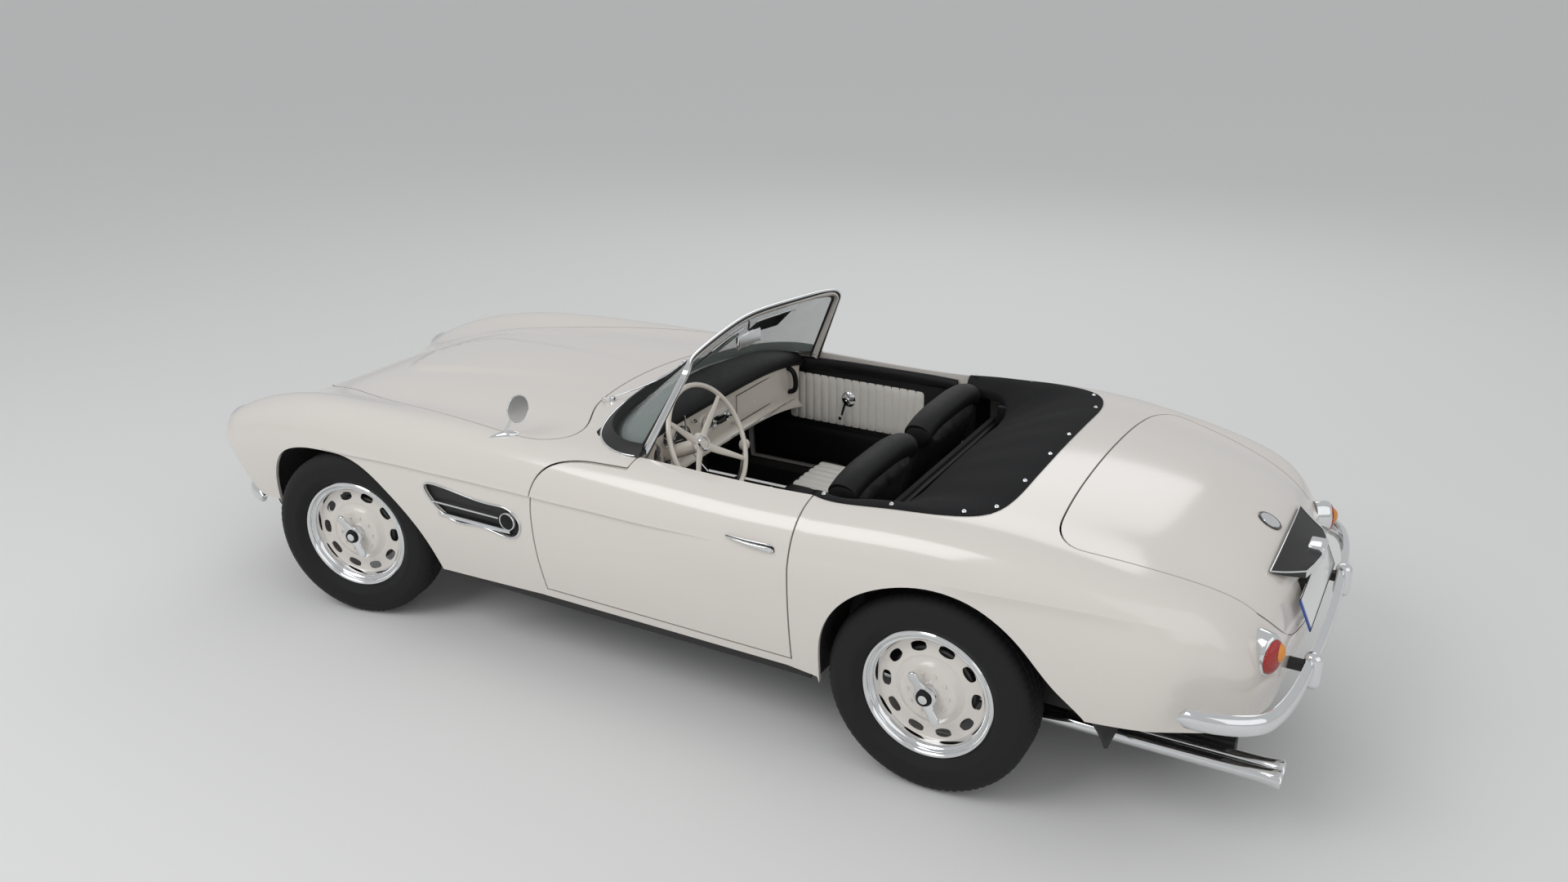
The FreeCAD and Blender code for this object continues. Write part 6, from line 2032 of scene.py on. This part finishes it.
def makePlate():
    slope = Vector((-0.046, 0, -0.102)).normalized()
    centre = Vector((-2.1135, 0, 0.6385))
    across = Vector((0, -1, 0))
    turn = Matrix((across, -slope, across.cross(-slope))).transposed().to_4x4()
    turn = Matrix.Translation(centre) @ turn
    plate, edge, band = stores(3)
    sheet = block((-0.236, -0.052, -0.003), (0.258, 0.052, 0.0005), 0.0012)
    put(plate, sheet, turn)
    strip = block((-0.258, -0.052, -0.003), (-0.236, 0.052, 0.0005), 0.0012)
    put(band, strip, turn)
    border = sweep([(-0.256, -0.05, 0.0005), (0.256, -0.05, 0.0005), (0.256, 0.05, 0.0005),
                    (-0.256, 0.05, 0.0005)], roundBar(0.004, 0.002, 0.0008, 3), (0, 0, 1), True)
    put(edge, border, turn)
    bracket = carve(prism([(-0.13, 0.69), (-0.13, 0.6), (0.13, 0.6), (0.13, 0.69)],
                          -2.116, -1.98, "yz"), block((-2.3, -0.3, 0.5), (-2.094, 0.3, 0.75)))
    bracket = carve(bracket, solidBody())
    newPiece("plateSheet", plate, "plateWhite", "boot_lid", 40, ["number_plate"])
    newPiece("plateBand", band, "blueBand", "boot_lid", 40)
    newPiece("plateEdge", joined(edge, bracket), "blackMetal", "boot_lid", 40)


def makePlateHood():
    def top(u, v):
        # v runs from the front edge on the lid to the free edge over the plate.
        y = (2 * u - 1) * (0.272 - 0.102 * v)
        front = skinTop(-2.0, y)
        bow = 1 - (2 * u - 1) ** 2
        x = -2.0 - 0.007 * bow - (0.09 + 0.022 * bow) * v
        sink = 0.03 * math.sin(math.pi * v * 0.5) * (0.4 + 0.6 * bow)
        return Vector((x, y, front.z + 0.012 - 0.036 * v - sink * (1 - v) * 0.8))
    upper = laid(top, 40, 12)
    lower = laid(lambda u, v: top(u, v) - Vector((0, 0, 0.004 + 0.018 * v)), 40, 12)
    shell = joined(upper, lower)
    rim = [e for e in shell.edges if e.is_boundary]
    bmesh.ops.bridge_loops(shell, edges=rim)
    bmesh.ops.recalc_face_normals(shell, faces=shell.faces)
    newPiece("plateHood", shell, "blackMetal", "boot_lid", 40)
    chrome = sweep([top(u, 0) + Vector((0, 0, 0.001)) for u in np.linspace(0, 1, 40)],
                   roundBar(0.004, 0.005, 0.0015, 3))
    for u in (0, 1):
        side = sweep([top(u, v) + Vector((0, 0, 0.001)) for v in np.linspace(0, 1, 12)],
                     roundBar(0.004, 0.005, 0.0015, 3))
        chrome = joined(chrome, side)
    free = sweep([top(u, 1) - Vector((0, 0, 0.01)) for u in np.linspace(0, 1, 40)],
                 roundBar(0.004, 0.024, 0.0018, 3))
    nose = top(0.5, 0.86)
    lamp = block(nose + Vector((-0.02, -0.042, -0.02)), nose + Vector((0.034, 0.042, 0.018)),
                 0.008, 4)
    newPiece("hoodChrome", joined(chrome, free, lamp), "chrome", "boot_lid", 40)
    lens = block(nose + Vector((-0.02, -0.028, -0.025)), nose + Vector((0.02, 0.028, -0.018)),
                 0.003)
    newPiece("hoodLens", lens, "clearLens", "boot_lid", 40)


def makeBadges():
    for x, store in ((trim["bootBadgeX"], "boot_lid"), (trim["noseBadgeX"], "body")):
        ground = skinTop(x, 0)
        facing = skinNormal(ground)
        ring = lathe([(0, -0.002), (0.041, -0.002), (0.0415, 0.002), (0.0385, 0.0042),
                      (0.0345, 0.0036), (0, 0.0036)], ground, facing, 56)
        disc = lathe([(0, 0.003), (0.0335, 0.003), (0.033, 0.0046), (0, 0.0056)], ground, facing,
                     56)
        name = "boot" if store == "boot_lid" else "nose"
        newPiece(name + "DiscRim", ring, "blackGloss", store, 40)
        newPiece(name + "Disc", disc, "chrome", store, 40)


finish["blueBand"] = makeDull("blueBand", (0.02, 0.09, 0.42), (0.018, 0.08, 0.38), 60, 0.35)
finish["blackGloss"] = makeIvory("blackGloss", (0.012, 0.012, 0.013), 0.1)
makePlate()
makePlateHood()
makeBadges()


def makeScuttle():
    bright, rubber = stores(2)
    for sign, pivotY, sweepTo in ((1, 0.3, 0.42), (-1, -0.2, 0.62)):
        ground = skinTop(0.4, pivotY)
        cap = lathe([(0, -0.004), (0.013, -0.004), (0.013, 0.01), (0.009, 0.017), (0, 0.018)],
                    ground, (0, 0, 1), 24)
        put(bright, cap)
        path = [ground + Vector((0, 0, 0.014))]
        path += [screenPlace(sweepTo, up, -0.014) for up in (0.14, 0.24, 0.36)]
        put(bright, rod(path, 0.0036, 8))
        wipe = rod([screenPlace(sweepTo + t, 0.2 + 0.34 * s, -0.0065) for s, t in zip(
            np.linspace(0, 1, 8), np.linspace(-0.01, 0.012, 8))], 0.0042, 8)
        put(rubber, wipe)
        jet = skinTop(0.42, sign * 0.33)
        nozzle = lathe([(0, -0.003), (0.008, -0.003), (0.006, 0.008), (0.0085, 0.012),
                        (0.0085, 0.018), (0, 0.021)], jet, (0, 0, 1), 20)
        put(bright, nozzle)
    newPiece("wiperArms", bright, "chrome", "body", 50)
    newPiece("wiperBlades", rubber, "seal", "body", 50)
    frame = block((-0.032, -0.082, 1.118), (-0.016, 0.082, 1.17), 0.006, 3)
    stem = rod([(-0.02, 0, 1.165), (-0.026, 0, 1.195), (-0.03, 0, 1.225)], 0.005, 10)
    newPiece("innerMirror", joined(frame, stem), "chrome", "body", 50)
    glass = block((-0.0335, -0.076, 1.124), (-0.0318, 0.076, 1.164), 0.0005)
    newPiece("innerMirrorGlass", glass, "mirror", "body", 50)
    for name, sign in handed:
        start, end = (0.26, 0.44) if sign > 0 else (0.56, 0.74)
        visor = screenSheet((start, end), (0.7, 0.93), (0.03, 0.034), 24, 6)
        newPiece("visor_" + name, visor, "smokeGlass", "body", 40)
        rail = rod([screenPlace(t, 0.93, 0.032) for t in np.linspace(start - 0.02, end + 0.02,
                                                                    12)], 0.0035, 10)
        newPiece("visorRail_" + name, rail, "chrome", "body", 50)


finish["smokeGlass"] = makeGlass("smokeGlass", (0.03, 0.03, 0.032), 0.72, 0.08)
makeScuttle()
print("tail and scuttle trim made")


# Camera, floor and light in place

makeCamera()
makeLamp("keyLight", (2.5, 5.5, 6.5), (5, 4), studio["keyPower"])
makeLamp("fillLight", (-6.0, 3.5, 4.5), (8, 7), studio["fillPower"])
makeLamp("backLight", (1.0, -6.5, 5.5), (6, 3), studio["backPower"])


def makeStudio():
    bm = bmesh.new()
    bmesh.ops.create_grid(bm, x_segments=2, y_segments=2, size=studio["floorSize"])
    floor = newPiece("floor", bm, None, None)
    pale = Finish("paleFloor")
    cloud = pale.noise(0.6, 2)
    pale.set(color=pale.mix(cloud * 0.3, studio["floor"], (0.77, 0.77, 0.765)), rough=0.8)
    floor.data.materials.append(pale.material)
    world = bpy.data.worlds.new("studio")
    world.use_nodes = True
    scene.world = world
    back = world.node_tree.nodes["Background"]
    back.inputs["Color"].default_value = (0.97, 0.985, 1.0, 1)
    back.inputs["Strength"].default_value = studio["sky"]


makeStudio()
scene.view_settings.view_transform = "Standard"
print("scene ready")
